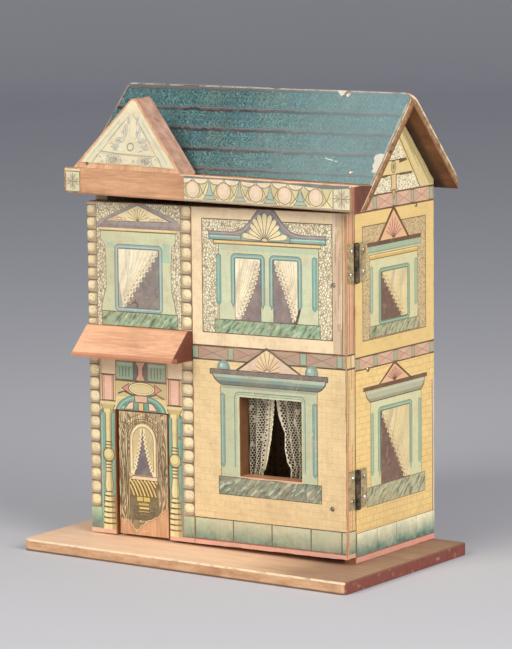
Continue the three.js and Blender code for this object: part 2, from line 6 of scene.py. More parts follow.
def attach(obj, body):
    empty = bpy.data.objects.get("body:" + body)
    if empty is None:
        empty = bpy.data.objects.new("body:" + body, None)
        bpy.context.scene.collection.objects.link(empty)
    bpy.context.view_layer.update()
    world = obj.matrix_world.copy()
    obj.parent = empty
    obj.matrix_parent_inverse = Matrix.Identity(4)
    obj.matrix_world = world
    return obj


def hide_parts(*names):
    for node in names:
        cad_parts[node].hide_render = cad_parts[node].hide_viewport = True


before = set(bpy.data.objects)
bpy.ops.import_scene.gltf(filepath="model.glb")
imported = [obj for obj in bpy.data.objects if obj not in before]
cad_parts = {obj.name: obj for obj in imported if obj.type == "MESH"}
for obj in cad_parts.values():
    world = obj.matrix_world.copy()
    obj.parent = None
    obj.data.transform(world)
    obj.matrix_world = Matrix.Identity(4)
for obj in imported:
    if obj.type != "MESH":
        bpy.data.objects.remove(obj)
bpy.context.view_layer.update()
MM = 0.001
DROOP = 0.0188


# ------------------------------------------------------------------ camera
def make_camera():
    a, e, r = math.radians(34.99), math.radians(8.485), math.radians(-0.575)
    back = Vector((math.sin(a) * math.cos(e), -math.cos(a) * math.cos(e), math.sin(e)))
    fwd = -back
    right = fwd.cross(Vector((0, 0, 1))).normalized()
    up = right.cross(fwd)
    cx = right * math.cos(r) + up * math.sin(r)
    cy = up * math.cos(r) - right * math.sin(r)
    cam = bpy.data.objects.new("camera", bpy.data.cameras.new("camera"))
    bpy.context.collection.objects.link(cam)
    m = Matrix((cx, cy, back)).transposed().to_4x4()
    m.translation = Vector((1.3178, -1.8701, 0.4895))
    cam.matrix_world = m
    cam.data.sensor_width = 36
    cam.data.lens = 200.12
    cam.data.clip_end = 60
    bpy.context.scene.camera = cam
    bpy.context.scene.view_settings.view_transform = "Standard"


make_camera()


def lin(c):
    return tuple((v / 255 / 12.92) if v <= 10.3 else ((v / 255 + 0.055) / 1.055) ** 2.4 for v in c)


# ------------------------------------------------------------------ node helper
class Mat:
    """A material with a few short ways to add nodes."""

    def __init__(s, name, **sockets):
        s.m = bpy.data.materials.new(name)
        s.m.use_nodes = True
        s.t = s.m.node_tree
        s.t.nodes.clear()
        s.out = s.t.nodes.new("ShaderNodeOutputMaterial")
        s.b = s.t.nodes.new("ShaderNodeBsdfPrincipled")
        s.t.links.new(s.b.outputs[0], s.out.inputs[0])
        s.tc = s.t.nodes.new("ShaderNodeTexCoord")
        for k, v in sockets.items():
            s.b.inputs[k.replace("_", " ")].default_value = v

    def set(s, node, key, v):
        i = node.inputs[key]
        if isinstance(v, bpy.types.NodeSocket):
            s.t.links.new(v, i)
        elif isinstance(v, (tuple, list)) and len(v) == 3 and i.type == "RGBA":
            i.default_value = (*v, 1)
        else:
            i.default_value = v

    def node(s, kind, ins=None, **props):
        n = s.t.nodes.new(kind)
        for k, v in props.items():
            setattr(n, k, v)
        for k, v in (ins or {}).items():
            s.set(n, k, v)
        return n

    def co(s, scale=(1, 1, 1), rot=(0, 0, 0), loc=(0, 0, 0)):
        if scale == (1, 1, 1) and rot == (0, 0, 0) and loc == (0, 0, 0):
            return s.tc.outputs["Object"]
        return s.node("ShaderNodeMapping", {"Vector": s.tc.outputs["Object"], "Scale": scale, "Rotation": rot, "Location": loc}).outputs[0]

    def xyz(s, vec=None):
        return s.node("ShaderNodeSeparateXYZ", {"Vector": vec or s.co()}).outputs

    def comb(s, x=0.0, y=0.0, z=0.0):
        return s.node("ShaderNodeCombineXYZ", {"X": x, "Y": y, "Z": z}).outputs[0]

    def noise(s, scale, detail=3.0, rough=0.55, vec=None, dist=0.0, color=False):
        n = s.node("ShaderNodeTexNoise", {"Vector": vec or s.co(), "Scale": scale, "Detail": detail, "Roughness": rough, "Distortion": dist})
        return n.outputs["Color" if color else "Fac"]

    def vor(s, scale, vec=None, feature="F1", rand=1.0, out="Distance"):
        return s.node("ShaderNodeTexVoronoi", {"Vector": vec or s.co(), "Scale": scale, "Randomness": rand}, feature=feature).outputs[out]

    def mth(s, op, a, b=0.0, c=0.0, clamp=False):
        n = s.node("ShaderNodeMath", operation=op, use_clamp=clamp)
        s.set(n, 0, a)
        s.set(n, 1, b)
        s.set(n, 2, c)
        return n.outputs[0]

    def ramp(s, fac, stops, interp="LINEAR"):
        n = s.node("ShaderNodeValToRGB", {"Fac": fac})
        n.color_ramp.interpolation = interp
        el = n.color_ramp.elements
        while len(el) < len(stops):
            el.new(0.5)
        for k, (p, c) in enumerate(stops):
            el[k].position = p
            el[k].color = (*c, 1) if isinstance(c, (tuple, list)) else (c, c, c, 1)
        return n.outputs["Color"]

    def mix(s, fac, a, b, mode="MIX"):
        n = s.node("ShaderNodeMix", data_type="RGBA", blend_type=mode)
        s.set(n, 0, fac)
        s.set(n, 6, a)
        s.set(n, 7, b)
        return n.outputs[2]

    def band(s, v, lo, hi, soft):
        """1 where lo < v < hi, falling to 0 over soft outside."""
        up = s.node("ShaderNodeMapRange", {"Value": v, "From Min": lo - soft, "From Max": lo}).outputs[0]
        dn = s.node("ShaderNodeMapRange", {"Value": v, "From Min": hi, "From Max": hi + soft, "To Min": 1.0, "To Max": 0.0}).outputs[0]
        return s.mth("MULTIPLY", up, dn)

    def code(s, alpha, k):
        return s.mth("COMPARE", alpha, k / 20, 0.02)

    def along(s, vec, deg, sx, sy=1.0):
        """Coordinates turned so that the direction deg lies along X, then scaled: stretches a pattern along that direction."""
        t = s.node("ShaderNodeMapping", {"Vector": vec, "Rotation": (0, 0, math.radians(-deg))}).outputs[0]
        return s.node("ShaderNodeMapping", {"Vector": t, "Scale": (sx, sy, 1.0)}).outputs[0]

    def bump(s, h, strength, dist):
        n = s.node("ShaderNodeBump", {"Height": h, "Strength": strength, "Distance": dist})
        s.t.links.new(n.outputs[0], s.b.inputs["Normal"])

    def done(s, color, rough=None):
        s.set(s.b, "Base Color", color)
        if rough is not None:
            s.set(s.b, "Roughness", rough)
        return s.m


def scaled(c, k):
    return tuple(min(1.0, v * k) for v in c)


# ------------------------------------------------------------------ wood
def wood(name, light, dark, grain="x", dirt=0.5, rough=0.55, end=None, edge=None):
    """Sawn softwood: long grain streaks along one axis, soft rings, dirt, dents and pale scratches."""
    k = Mat(name)
    stretch = {"x": (0.09, 1, 1), "y": (1, 0.09, 1), "z": (1, 1, 0.09)}[grain]
    along = k.co(stretch)
    warp = k.noise(14, 2, 0.5, k.co(stretch), color=True)
    vec = k.node("ShaderNodeVectorMath", {0: along, 1: k.node("ShaderNodeVectorMath", {0: warp, 1: (0.006, 0.006, 0.006)}, operation="MULTIPLY").outputs[0]}, operation="ADD").outputs[0]
    rings = k.noise(170, 3, 0.6, vec)
    fine = k.noise(900, 3, 0.7, along)
    pores = k.noise(2200, 2, 0.6, k.co(tuple(v * (0.35 if v < 1 else 1) for v in stretch)))
    c = k.ramp(rings, [(0.34, dark), (0.5, light), (0.66, scaled(light, 1.1)), (0.8, dark)])
    c = k.mix(k.ramp(fine, [(0.35, 0.55), (0.62, 0.0)]), c, scaled(dark, 0.8))
    c = k.mix(k.ramp(pores, [(0.62, 0.0), (0.74, 0.45)]), c, scaled(dark, 0.45))
    blotch = k.noise(26, 4, 0.6)
    c = k.mix(k.ramp(blotch, [(0.42, 0.0), (0.7, dirt)]), c, scaled(dark, 0.62))
    wide = k.noise(9, 2, 0.5)
    c = k.mix(k.ramp(wide, [(0.3, 0.0), (0.7, 0.35)]), c, scaled(light, 1.18))
    specks = k.vor(420, out="Distance")
    spotty = k.mth("MULTIPLY", k.ramp(specks, [(0.05, 1.0), (0.11, 0.0)]), k.ramp(k.noise(60, 2), [(0.5, 0.0), (0.62, 0.8)]))
    c = k.mix(spotty, c, scaled(dark, 0.3))
    stain = k.noise(46, 5, 0.7, k.co(tuple(v * (3.2 if v < 1 else 1) for v in stretch)))
    c = k.mix(k.ramp(stain, [(0.54, 0.0), (0.66, dirt * 1.1)]), c, scaled(dark, 0.78))
    c = k.mix(k.ramp(stain, [(0.30, 0.5), (0.42, 0.0)]), c, scaled(light, 1.12))
    scr = k.noise(60, 2, 0.5, k.co((6, 6, 1.2) if grain != "z" else (1.2, 6, 6), rot=(0.3, 0.5, 0.2)))
    c = k.mix(k.ramp(scr, [(0.68, 0.0), (0.72, 0.3)]), c, scaled(light, 1.35))
    if edge:
        c = edge(k, c)
    h = k.mth("ADD", k.mth("MULTIPLY", rings, 0.5), k.mth("ADD", k.mth("MULTIPLY", fine, 0.35), k.mth("MULTIPLY", blotch, 0.5)))
    k.bump(h, 0.35, 0.0004)
    return k.done(c, k.ramp(k.noise(70, 4, 0.6), [(0.3, rough - 0.1), (0.7, rough + 0.14)]))


PINE = lin((226, 176, 136))
PINE_DK = lin((176, 118, 78))
BROWN = lin((150, 96, 58))
BROWN_DK = lin((92, 52, 30))


def base_edge(k, c):
    x, y, z = k.xyz()
    # red-brown painted right end, worn to bare wood at its corners, a darker mottled front edge, and a painted contact
    # shadow along the bottom of the front
    n = k.noise(120, 4, 0.6)
    right = k.mth("MULTIPLY", k.band(x, 0.1238, 0.2, 0.0004), k.ramp(n, [(0.3, 0.4), (0.42, 1.0)]))
    c = k.mix(right, c, k.mix(k.noise(400, 3), lin((150, 82, 68)), lin((104, 50, 40))))
    top_right = k.mth("MULTIPLY", k.band(x, 0.085, 0.2, 0.05), k.band(z, 0.0070, 0.1, 0.0002))
    c = k.mix(k.mth("MULTIPLY", top_right, 0.7), c, lin((134, 98, 80)))
    c = k.mix(k.mth("MULTIPLY", k.band(x, -0.2, 0.0, 0.08), k.mth("MULTIPLY", k.band(z, 0.0070, 0.1, 0.0002), 0.6)), c, lin((250, 214, 182)))
    front = k.mth("MULTIPLY", k.band(y, -0.2, -0.0733, 0.0005), k.band(z, -0.1, 0.0062, 0.0006))
    c = k.mix(k.mth("MULTIPLY", front, k.ramp(k.noise(70, 3, 0.6), [(0.35, 0.62), (0.65, 1.0)])), c, k.mix(k.ramp(k.noise(260, 4, 0.7, k.co((0.3, 1, 1))), [(0.36, 0.0), (0.64, 1.0)]), lin((172, 124, 86)), lin((214, 166, 122))))
    # painted contact shadow: a dark line along the bottom of the front face, where it meets the floor
    foot = k.mth("MULTIPLY", k.band(y, -0.2, -0.0730, 0.0005), k.band(z, -0.1, 0.0008, 0.0005))
    c = k.mix(k.mth("MULTIPLY", foot, 0.8), c, lin((84, 62, 50)))
    arris = k.mth("MULTIPLY", k.band(y, -0.2, -0.0730, 0.0005), k.band(z, 0.0066, 0.1, 0.0005))
    return k.mix(k.mth("MULTIPLY", arris, k.ramp(k.noise(150, 3), [(0.38, 0.3), (0.5, 0.95)])), c, lin((250, 226, 188)))


def fascia_edge(k, c):
    x, y, z = k.xyz()
    end = k.band(x, 0.1134, 0.2, 0.0006)
    c = k.mix(k.mth("MULTIPLY", end, k.ramp(k.noise(110, 3), [(0.3, 0.5), (0.45, 1.0)])), c, k.mix(k.noise(300, 3), lin((172, 112, 88)), lin((128, 76, 58))))
    far = k.band(x, 0.1150, 0.2, 0.0005)
    c = k.mix(k.mth("MULTIPLY", far, 0.9), c, k.mix(k.noise(300, 3), lin((112, 62, 44)), lin((80, 42, 30))))
    top = k.mth("MULTIPLY", k.mth("MULTIPLY", k.band(z, 0.2479, 0.3, 0.0003), k.ramp(k.noise(90, 3), [(0.35, 0.25), (0.5, 0.9)])), k.band(x, -0.014, 0.2, 0.003))
    c = k.mix(top, c, lin((236, 204, 166)))
    low = k.band(z, 0.2, 0.2325, 0.0006)
    return k.mix(k.mth("MULTIPLY", low, 0.5), c, lin((120, 72, 46)))


def porch_edge(k, c):
    x, y, z = k.xyz()
    end = k.band(x, -0.0200, 0.2, 0.0008)
    c = k.mix(end, c, k.mix(k.noise(300, 3), lin((120, 58, 40)), lin((82, 40, 28))))
    low = k.mth("MULTIPLY", k.band(y, -0.2, -0.0508, 0.0006), 0.65)
    return k.mix(low, c, lin((178, 108, 74)))


def ped_edge(k, c):
    # the pediment's right flank is a dull pinkish brown, its arris pale
    x, y, z = k.xyz()
    g = k.node("ShaderNodeNewGeometry")
    nx = k.xyz(g.outputs["Normal"])[0]
    flank = k.mth("MULTIPLY", k.band(nx, 0.4, 1.1, 0.2), k.band(z, 0.2488, 0.4, 0.0005))
    c = k.mix(k.mth("MULTIPLY", flank, 0.8), c, k.mix(k.ramp(k.noise(140, 4, 0.6), [(0.35, 0.0), (0.65, 1.0)]), lin((158, 120, 104)), lin((204, 166, 148))))
    return c


M_BASE = wood("base_wood", lin((244, 202, 160)), lin((210, 162, 122)), "x", 0.35, 0.6, edge=base_edge)
M_FASCIA = wood("cornice_wood", lin((210, 160, 120)), lin((174, 120, 84)), "x", 0.42, 0.6, edge=fascia_edge)
M_PORCH = wood("porch_wood", lin((240, 186, 146)), lin((206, 144, 106)), "x", 0.4, 0.55, edge=porch_edge)
M_PED = wood("pediment_wood", lin((220, 172, 130)), lin((188, 136, 96)), "z", 0.3, 0.6, edge=ped_edge)


def body_edge(k, c):
    # painted light on the whitish end of the left-hand wall under the cornice; painted shade in the dark window reveal,
    # with painted light on its upward-facing sill; pale rubbed top of the front
    x, y, z = k.xyz()
    # painted light: the end of the left-hand wall under the cornice is made paler, as if lit
    painted_light_end = k.mth("MULTIPLY", k.band(x, -0.2, -0.090, 0.0005), k.mth("MULTIPLY", k.band(z, 0.2262, 0.3, 0.001), k.band(y, -0.2, -0.0232, 0.0004)))
    c = k.mix(k.mth("MULTIPLY", painted_light_end, k.ramp(k.noise(150, 3), [(0.35, 0.4), (0.55, 0.95)])), c, lin((196, 174, 150)))
    # painted shade: the sides of the window reveal are made dark brown
    reveal_light_and_shade = k.mth("MULTIPLY", k.mth("MULTIPLY", k.band(x, 0.0185, 0.0672, 0.0006), k.band(z, 0.0560, 0.1092, 0.0006)), k.band(y, -0.2, -0.0222, 0.0004))
    c = k.mix(k.mth("MULTIPLY", reveal_light_and_shade, 0.85), c, k.mix(k.noise(200, 3), lin((128, 88, 50)), lin((92, 60, 34))))
    # painted light: the reveal's upward-facing sill gets a lighter wood colour
    up = k.band(k.xyz(k.node("ShaderNodeNewGeometry").outputs["Normal"])[2], 0.6, 1.1, 0.2)
    c = k.mix(k.mth("MULTIPLY", k.mth("MULTIPLY", reveal_light_and_shade, up), 0.85), c, k.mix(k.noise(200, 3), lin((214, 160, 118)), lin((176, 124, 84))))
    rise = k.mth("SUBTRACT", z, k.mth("MULTIPLY", x, 0.0188))
    top = k.mth("MULTIPLY", k.band(rise, 0.2269, 0.24, 0.0003), k.band(y, -0.034, -0.0242, 0.0003))
    return k.mix(k.mth("MULTIPLY", top, k.ramp(k.noise(140, 3), [(0.35, 0.3), (0.55, 0.9)])), c, lin((226, 190, 150)))


M_BODY = wood("carcass_wood", lin((198, 136, 86)), lin((142, 86, 50)), "z", 0.5, 0.6, edge=body_edge)
M_INSIDE = wood("inside_wood", lin((150, 98, 60)), lin((100, 60, 36)), "x", 0.6, 0.65)


def roof_edge(k, c):
    # dark brown-red underside, worn tan ends
    x, y, z = k.xyz()
    g = k.node("ShaderNodeNewGeometry")
    nz = k.xyz(g.outputs["Normal"])[2]
    nx = k.xyz(g.outputs["Normal"])[0]
    under = k.band(nz, -1.1, -0.4, 0.1)
    c = k.mix(under, c, k.mix(k.ramp(k.noise(90, 4, 0.6, k.co((0.3, 1, 1))), [(0.35, 0.0), (0.65, 1.0)]), lin((138, 88, 46)), lin((96, 58, 32))))
    # painted shade: the underside is made darker next to the gable wall
    c = k.mix(k.mth("MULTIPLY", under, k.band(x, -0.2, 0.1042, 0.004)), c, lin((62, 38, 24)))
    ends = k.band(k.mth("ABSOLUTE", nx), 0.6, 1.1, 0.1)
    rear = k.band(y, 0.024, 0.2, 0.002)
    streak = k.ramp(k.noise(210, 4, 0.7), [(0.36, 0.0), (0.62, 1.0)])
    c = k.mix(ends, c, k.mix(rear, k.mix(streak, lin((112, 82, 52)), lin((170, 134, 90))), k.mix(streak, lin((127, 94, 59)), lin((168, 134, 96)))))
    chip = k.noise(420, 4, 0.7)
    c = k.mix(k.mth("MULTIPLY", ends, k.ramp(chip, [(0.60, 0.0), (0.68, 0.6)])), c, lin((218, 200, 168)))
    c = k.mix(k.mth("MULTIPLY", ends, k.ramp(chip, [(0.34, 0.85), (0.41, 0.0)])), c, lin((66, 44, 28)))
    # dark foot of each end, pale worn arris above
    s1 = k.mth("SUBTRACT", k.mth("SUBTRACT", 0.300, z), k.mth("MULTIPLY", k.mth("ABSOLUTE", k.mth("SUBTRACT", y, 0.022)), 1.10281))
    c = k.mix(k.mth("MULTIPLY", ends, k.mth("MULTIPLY", k.band(s1, 0.0060, 0.03, 0.0008), k.ramp(k.noise(90, 3), [(0.3, 0.3), (0.6, 0.9)]))), c, lin((132, 84, 48)))
    return k.mix(k.mth("MULTIPLY", ends, k.mth("MULTIPLY", k.band(s1, -0.01, 0.0014, 0.0008), k.ramp(k.noise(160, 3), [(0.38, 0.2), (0.52, 0.95)]))), c, lin((232, 208, 174)))


M_ROOFWOOD = wood("roof_wood", lin((186, 132, 90)), lin((128, 78, 50)), "x", 0.5, 0.6, edge=roof_edge)

for node, mat in {
    "base_board": M_BASE, "eave_fascia": M_FASCIA, "porch_roof": M_PORCH, "gable_pediment": M_PED,
    "side_wall_left": M_BODY, "side_wall_right": M_BODY, "back_wall": M_BODY, "front_panel": M_BODY,
    "upper_floor": M_INSIDE, "roof_board_front": M_ROOFWOOD, "roof_board_rear": M_ROOFWOOD, "front_door": M_PED,
    "curtain_strip": M_INSIDE,
}.items():
    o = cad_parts[node]
    for s in o.material_slots:
        s.material = mat


# ------------------------------------------------------------------ metals
def metal(name, col, dark, rough, metallic=1.0, barrel=False):
    k = Mat(name, Metallic=metallic)
    n = k.noise(260, 5, 0.65)
    f = k.noise(1800, 3, 0.6)
    c = k.ramp(n, [(0.35, dark), (0.62, col)])
    c = k.mix(k.ramp(f, [(0.55, 0.0), (0.7, 0.6)]), c, scaled(dark, 0.55))
    if barrel:
        # painted shade: black round the knuckles of the two butt hinges, where the gap between the leaves lies in shade
        x, y, z = k.xyz()
        knuckle_shade = k.mth("MULTIPLY", k.band(y, -0.0260, -0.0222, 0.0003), k.band(x, 0.0995, 0.2, 0.0003))
        c = k.mix(k.mth("MULTIPLY", knuckle_shade, k.ramp(k.noise(330, 3), [(0.36, 0.75), (0.62, 0.98)])), c, lin((30, 26, 20)))
    h = k.mth("ADD", n, k.mth("MULTIPLY", f, 0.5))
    k.bump(h, 0.4, 0.0002)
    return k.done(c, k.ramp(n, [(0.3, rough + 0.22), (0.7, rough)]))


M_BRASS = metal("aged_brass", lin((214, 192, 146)), lin((150, 128, 90)), 0.40, 0.35, True)
M_IRON = metal("nail_iron", lin((196, 184, 162)), lin((70, 54, 44)), 0.30, 0.9)
M_HEAD = metal("nail_head", lin((240, 232, 214)), lin((132, 116, 96)), 0.24, 0.85)
M_PIN = metal("pin_steel", lin((58, 50, 42)), lin((26, 22, 20)), 0.5, 0.8)
for name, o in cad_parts.items():
    mat = None
    if name.endswith("_leaf") or name in ("door_knob", "latch_hook", "latch_hook_nail", "latch_catch_nail"):
        mat = M_BRASS
    elif name.startswith("hinge_") and name.endswith("_pin"):
        mat = M_PIN
    elif name.startswith("hinge_") or name.startswith("roof_nail"):
        mat = M_HEAD
    elif "nail" in name or name.startswith("door_pi"):
        mat = M_IRON
    if mat:
        for s in o.material_slots:
            s.material = mat

# ------------------------------------------------------------------ printed paper
# pattern codes that an area carries beside its colour
PLAIN, BRICK, STIPPLE, MARBLE, DRAPE, BLOCK, BARE, SLATE, OAK, DOTS, WASH = range(11)


def litho(name, plane, gloss=0.42, age=1.0, bricks=0.6):
    """Varnished printed paper. The drawing's colours and pattern codes are in the mesh, and brick lines, pebbles,
    brush strokes, wood graining, crayon grain, ageing, stains and scuffs are added here."""
    k = Mat(name)
    at = k.node("ShaderNodeAttribute", attribute_name="Print")
    col, al = at.outputs["Color"], at.outputs["Alpha"]
    x, y, z = k.xyz()
    u = {"xz": x, "yz": y}[plane]
    # lines of a hand-drawn stone waver a little
    wob = k.noise(190, 2, 0.5, color=True)
    wv = k.node("ShaderNodeVectorMath", {0: wob, 1: (0.0005, 0.0005, 0.0)}, operation="MULTIPLY").outputs[0]
    uv = k.node("ShaderNodeVectorMath", {0: k.comb(u, z, 0.0), 1: wv}, operation="ADD").outputs[0]
    # brick courses
    br = k.node("ShaderNodeTexBrick", {"Vector": uv, "Scale": 1000.0, "Mortar Size": 0.17, "Mortar Smooth": 0.5, "Brick Width": 7.8, "Row Height": 4.0,
                                       "Color1": (0.0, 0.0, 0.0), "Color2": (0.0, 0.0, 0.0), "Mortar": (1.0, 1.0, 1.0)})
    lines = k.mth("MULTIPLY", k.code(al, BRICK), k.mth("MULTIPLY", br.outputs["Color"], k.ramp(k.noise(120, 3), [(0.36, bricks * 0.35), (0.62, bricks)])))
    c = k.mix(lines, col, lin((148, 122, 62)))
    # every brick a little different
    bb = k.node("ShaderNodeTexBrick", {"Vector": uv, "Scale": 1000.0, "Mortar Size": 0.0, "Brick Width": 7.8, "Row Height": 4.0,
                                       "Color1": (0.0, 0.0, 0.0), "Color2": (1.0, 1.0, 1.0), "Mortar": (0.0, 0.0, 0.0)})
    c = k.mix(k.mth("MULTIPLY", k.code(al, BRICK), k.mth("MULTIPLY", bb.outputs["Color"], bricks * 0.35)), c, lin((242, 192, 120)))
    # pebbled ground: pale stones in a dark net
    pv = k.node("ShaderNodeMapping", {"Vector": uv, "Scale": (1.0, 0.78, 1.0)}).outputs[0]
    grain = k.vor(610, pv, "DISTANCE_TO_EDGE", 0.9)
    tint = k.xyz(k.vor(610, pv, "F1", 0.9, "Color"))[0]
    cell = k.mix(k.ramp(tint, [(0.5, 0.0), (0.95, 0.55)]), col, k.mix(0.5, col, lin((196, 186, 146))))
    cell = k.mix(k.ramp(k.noise(900, 2), [(0.4, 0.5), (0.6, 0.0)]), cell, lin((246, 234, 202)))
    st = k.mix(k.ramp(grain, [(0.05, 0.85), (0.14, 0.0)]), cell, lin((130, 118, 92)))
    c = k.mix(k.code(al, STIPPLE), c, st)
    # speckled ground: brown dots
    dv = k.vor(1040, uv, "F1", 1.0)
    dd = k.mix(k.ramp(dv, [(0.32, 0.85), (0.48, 0.0)]), col, lin((134, 112, 70)))
    c = k.mix(k.code(al, DOTS), c, dd)
    # brushed stone of the sills: slanting strokes
    slant = k.along(uv, 50, 0.24)
    stroke = k.noise(520, 3, 0.6, slant, 0.4)
    mb = k.mix(k.ramp(stroke, [(0.36, 0.95), (0.46, 0.35), (0.56, 0.0)]), col, lin((72, 92, 78)))
    mb = k.mix(k.ramp(k.noise(440, 2, 0.5, k.along(uv, 42, 0.3), 0.4), [(0.54, 0.0), (0.66, 0.75)]), mb, lin((206, 216, 180)))
    c = k.mix(k.code(al, MARBLE), c, mb)
    # drawn curtains: soft folds, blue-grey in their depths
    fold = k.noise(170, 3, 0.55, k.along(uv, 68, 0.14), 0.4)
    dr = k.mix(k.ramp(fold, [(0.32, 0.55), (0.52, 0.0)]), col, lin((172, 166, 138)))
    dr = k.mix(k.ramp(k.noise(260, 2, 0.5, k.along(uv, 68, 0.14)), [(0.56, 0.0), (0.7, 0.5)]), dr, lin((246, 230, 190)))
    c = k.mix(k.code(al, DRAPE), c, dr)
    # dark panes and painted bands: cloudy wash
    cloud = k.noise(210, 4, 0.65)
    wa = k.mix(k.ramp(cloud, [(0.34, 0.5), (0.52, 0.0)]), col, scaled((0.11, 0.09, 0.085), 1.0))
    wa = k.mix(k.ramp(k.noise(260, 4, 0.7), [(0.52, 0.0), (0.72, 0.42)]), wa, lin((178, 172, 160)))
    c = k.mix(k.code(al, WASH), c, wa)
    # foundation blocks: pale above, blue-green washed below
    wash = k.mth("ADD", k.mth("MULTIPLY", k.node("ShaderNodeMapRange", {"Value": z, "From Min": 0.0120, "From Max": 0.0300}).outputs[0], 0.72), k.mth("MULTIPLY", k.noise(75, 5, 0.7), 0.62))
    bl = k.mix(k.ramp(wash, [(0.34, 0.0), (0.86, 1.0)]), k.mix(k.ramp(k.noise(240, 4, 0.7), [(0.4, 0.0), (0.6, 1.0)]), lin((108, 156, 138)), lin((72, 118, 108))), col)
    c = k.mix(k.code(al, BLOCK), c, bl)
    # wood graining of the door: contour lines of a long smooth field
    fld = k.noise(34, 2, 0.45, k.node("ShaderNodeMapping", {"Vector": uv, "Scale": (3.0, 0.5, 1.0)}).outputs[0], 0.35)
    ct = k.mth("FRACT", k.mth("MULTIPLY", fld, 21.0))
    oak = k.mix(k.ramp(ct, [(0.0, 1.0), (0.26, 0.85), (0.46, 0.0), (0.8, 0.0), (1.0, 1.0)]), col, lin((112, 88, 50)))
    c = k.mix(k.code(al, OAK), c, oak)
    # bare wood patches get grain
    gr = k.noise(420, 3, 0.6, k.node("ShaderNodeMapping", {"Vector": uv, "Scale": (0.12, 1.0, 1.0)}).outputs[0])
    c = k.mix(k.code(al, BARE), c, k.mix(k.ramp(gr, [(0.35, 0.6), (0.6, 0.0)]), col, k.mix(0.5, col, lin((150, 92, 56)))))
    # crayon grain of the stone, and the canvas-like weave of old size
    dots = k.noise(2300, 2, 0.6, uv)
    c = k.mix(k.ramp(dots, [(0.36, 0.30), (0.54, 0.0)]), c, k.mix(0.55, c, lin((112, 92, 60))))
    weave = k.mth("ADD", k.noise(620, 2, 0.5, k.along(uv, 90, 0.10)), k.noise(620, 2, 0.5, k.along(uv, 0, 0.10)))
    c = k.mix(k.ramp(weave, [(0.78, 0.14), (0.96, 0.0)]), c, k.mix(0.6, c, lin((150, 124, 84))))
    mott = k.noise(130, 5, 0.7)
    c = k.mix(k.ramp(mott, [(0.36, 0.34 * age), (0.52, 0.0)]), c, k.mix(0.6, c, lin((164, 134, 100))))
    c = k.mix(k.ramp(k.noise(90, 4, 0.7), [(0.50, 0.0), (0.72, 0.30 * age)]), c, k.mix(0.55, c, lin((244, 214, 170))))
    # age: brown cast in wide patches, pinkish rubs
    wide = k.noise(17, 4, 0.6)
    c = k.mix(k.ramp(wide, [(0.46, 0.0), (0.70, 0.42 * age)]), c, k.mix(0.6, c, lin((160, 132, 104))))
    c = k.mix(k.ramp(k.noise(48, 4, 0.65), [(0.56, 0.0), (0.72, 0.35 * age)]), c, k.mix(0.6, c, lin((206, 160, 130))))
    # drips and streaks that run down
    drip = k.noise(95, 3, 0.6, k.along(uv, 90, 0.09))
    c = k.mix(k.ramp(drip, [(0.60, 0.0), (0.74, 0.34 * age)]), c, k.mix(0.5, c, lin((150, 124, 92))))
    # hairline scratches, rubs that show the pale paper, and dark specks
    scr = k.noise(75, 3, 0.5, k.along(uv, 62, 0.14, 3.4))
    c = k.mix(k.ramp(scr, [(0.71, 0.0), (0.74, 0.22 * age)]), c, lin((240, 224, 190)))
    rub = k.mth("MULTIPLY", k.ramp(k.noise(240, 5, 0.75), [(0.62, 0.0), (0.68, 0.7 * age)]), k.ramp(k.noise(22, 2), [(0.5, 0.0), (0.62, 1.0)]))
    c = k.mix(rub, c, lin((238, 222, 188)))
    speck = k.mth("MULTIPLY", k.ramp(k.vor(260), [(0.04, 0.85), (0.075, 0.0)]), k.ramp(k.noise(35, 2), [(0.5, 0.0), (0.58, 1.0)]))
    c = k.mix(speck, c, lin((86, 60, 42)))
    h = k.mth("ADD", k.mth("MULTIPLY", k.noise(900, 4, 0.6), 0.5), k.mth("ADD", k.mth("MULTIPLY", mott, 0.8), k.mth("MULTIPLY", scr, 0.3)))
    k.bump(h, 0.22, 0.0003)
    return k.done(c, k.ramp(k.noise(45, 4, 0.6), [(0.3, gloss - 0.08), (0.7, gloss + 0.2)]))


M_FRONT = litho("litho_front", "xz", bricks=0.42)
M_SIDE = litho("litho_side", "yz", 0.45, 0.6, 0.85)


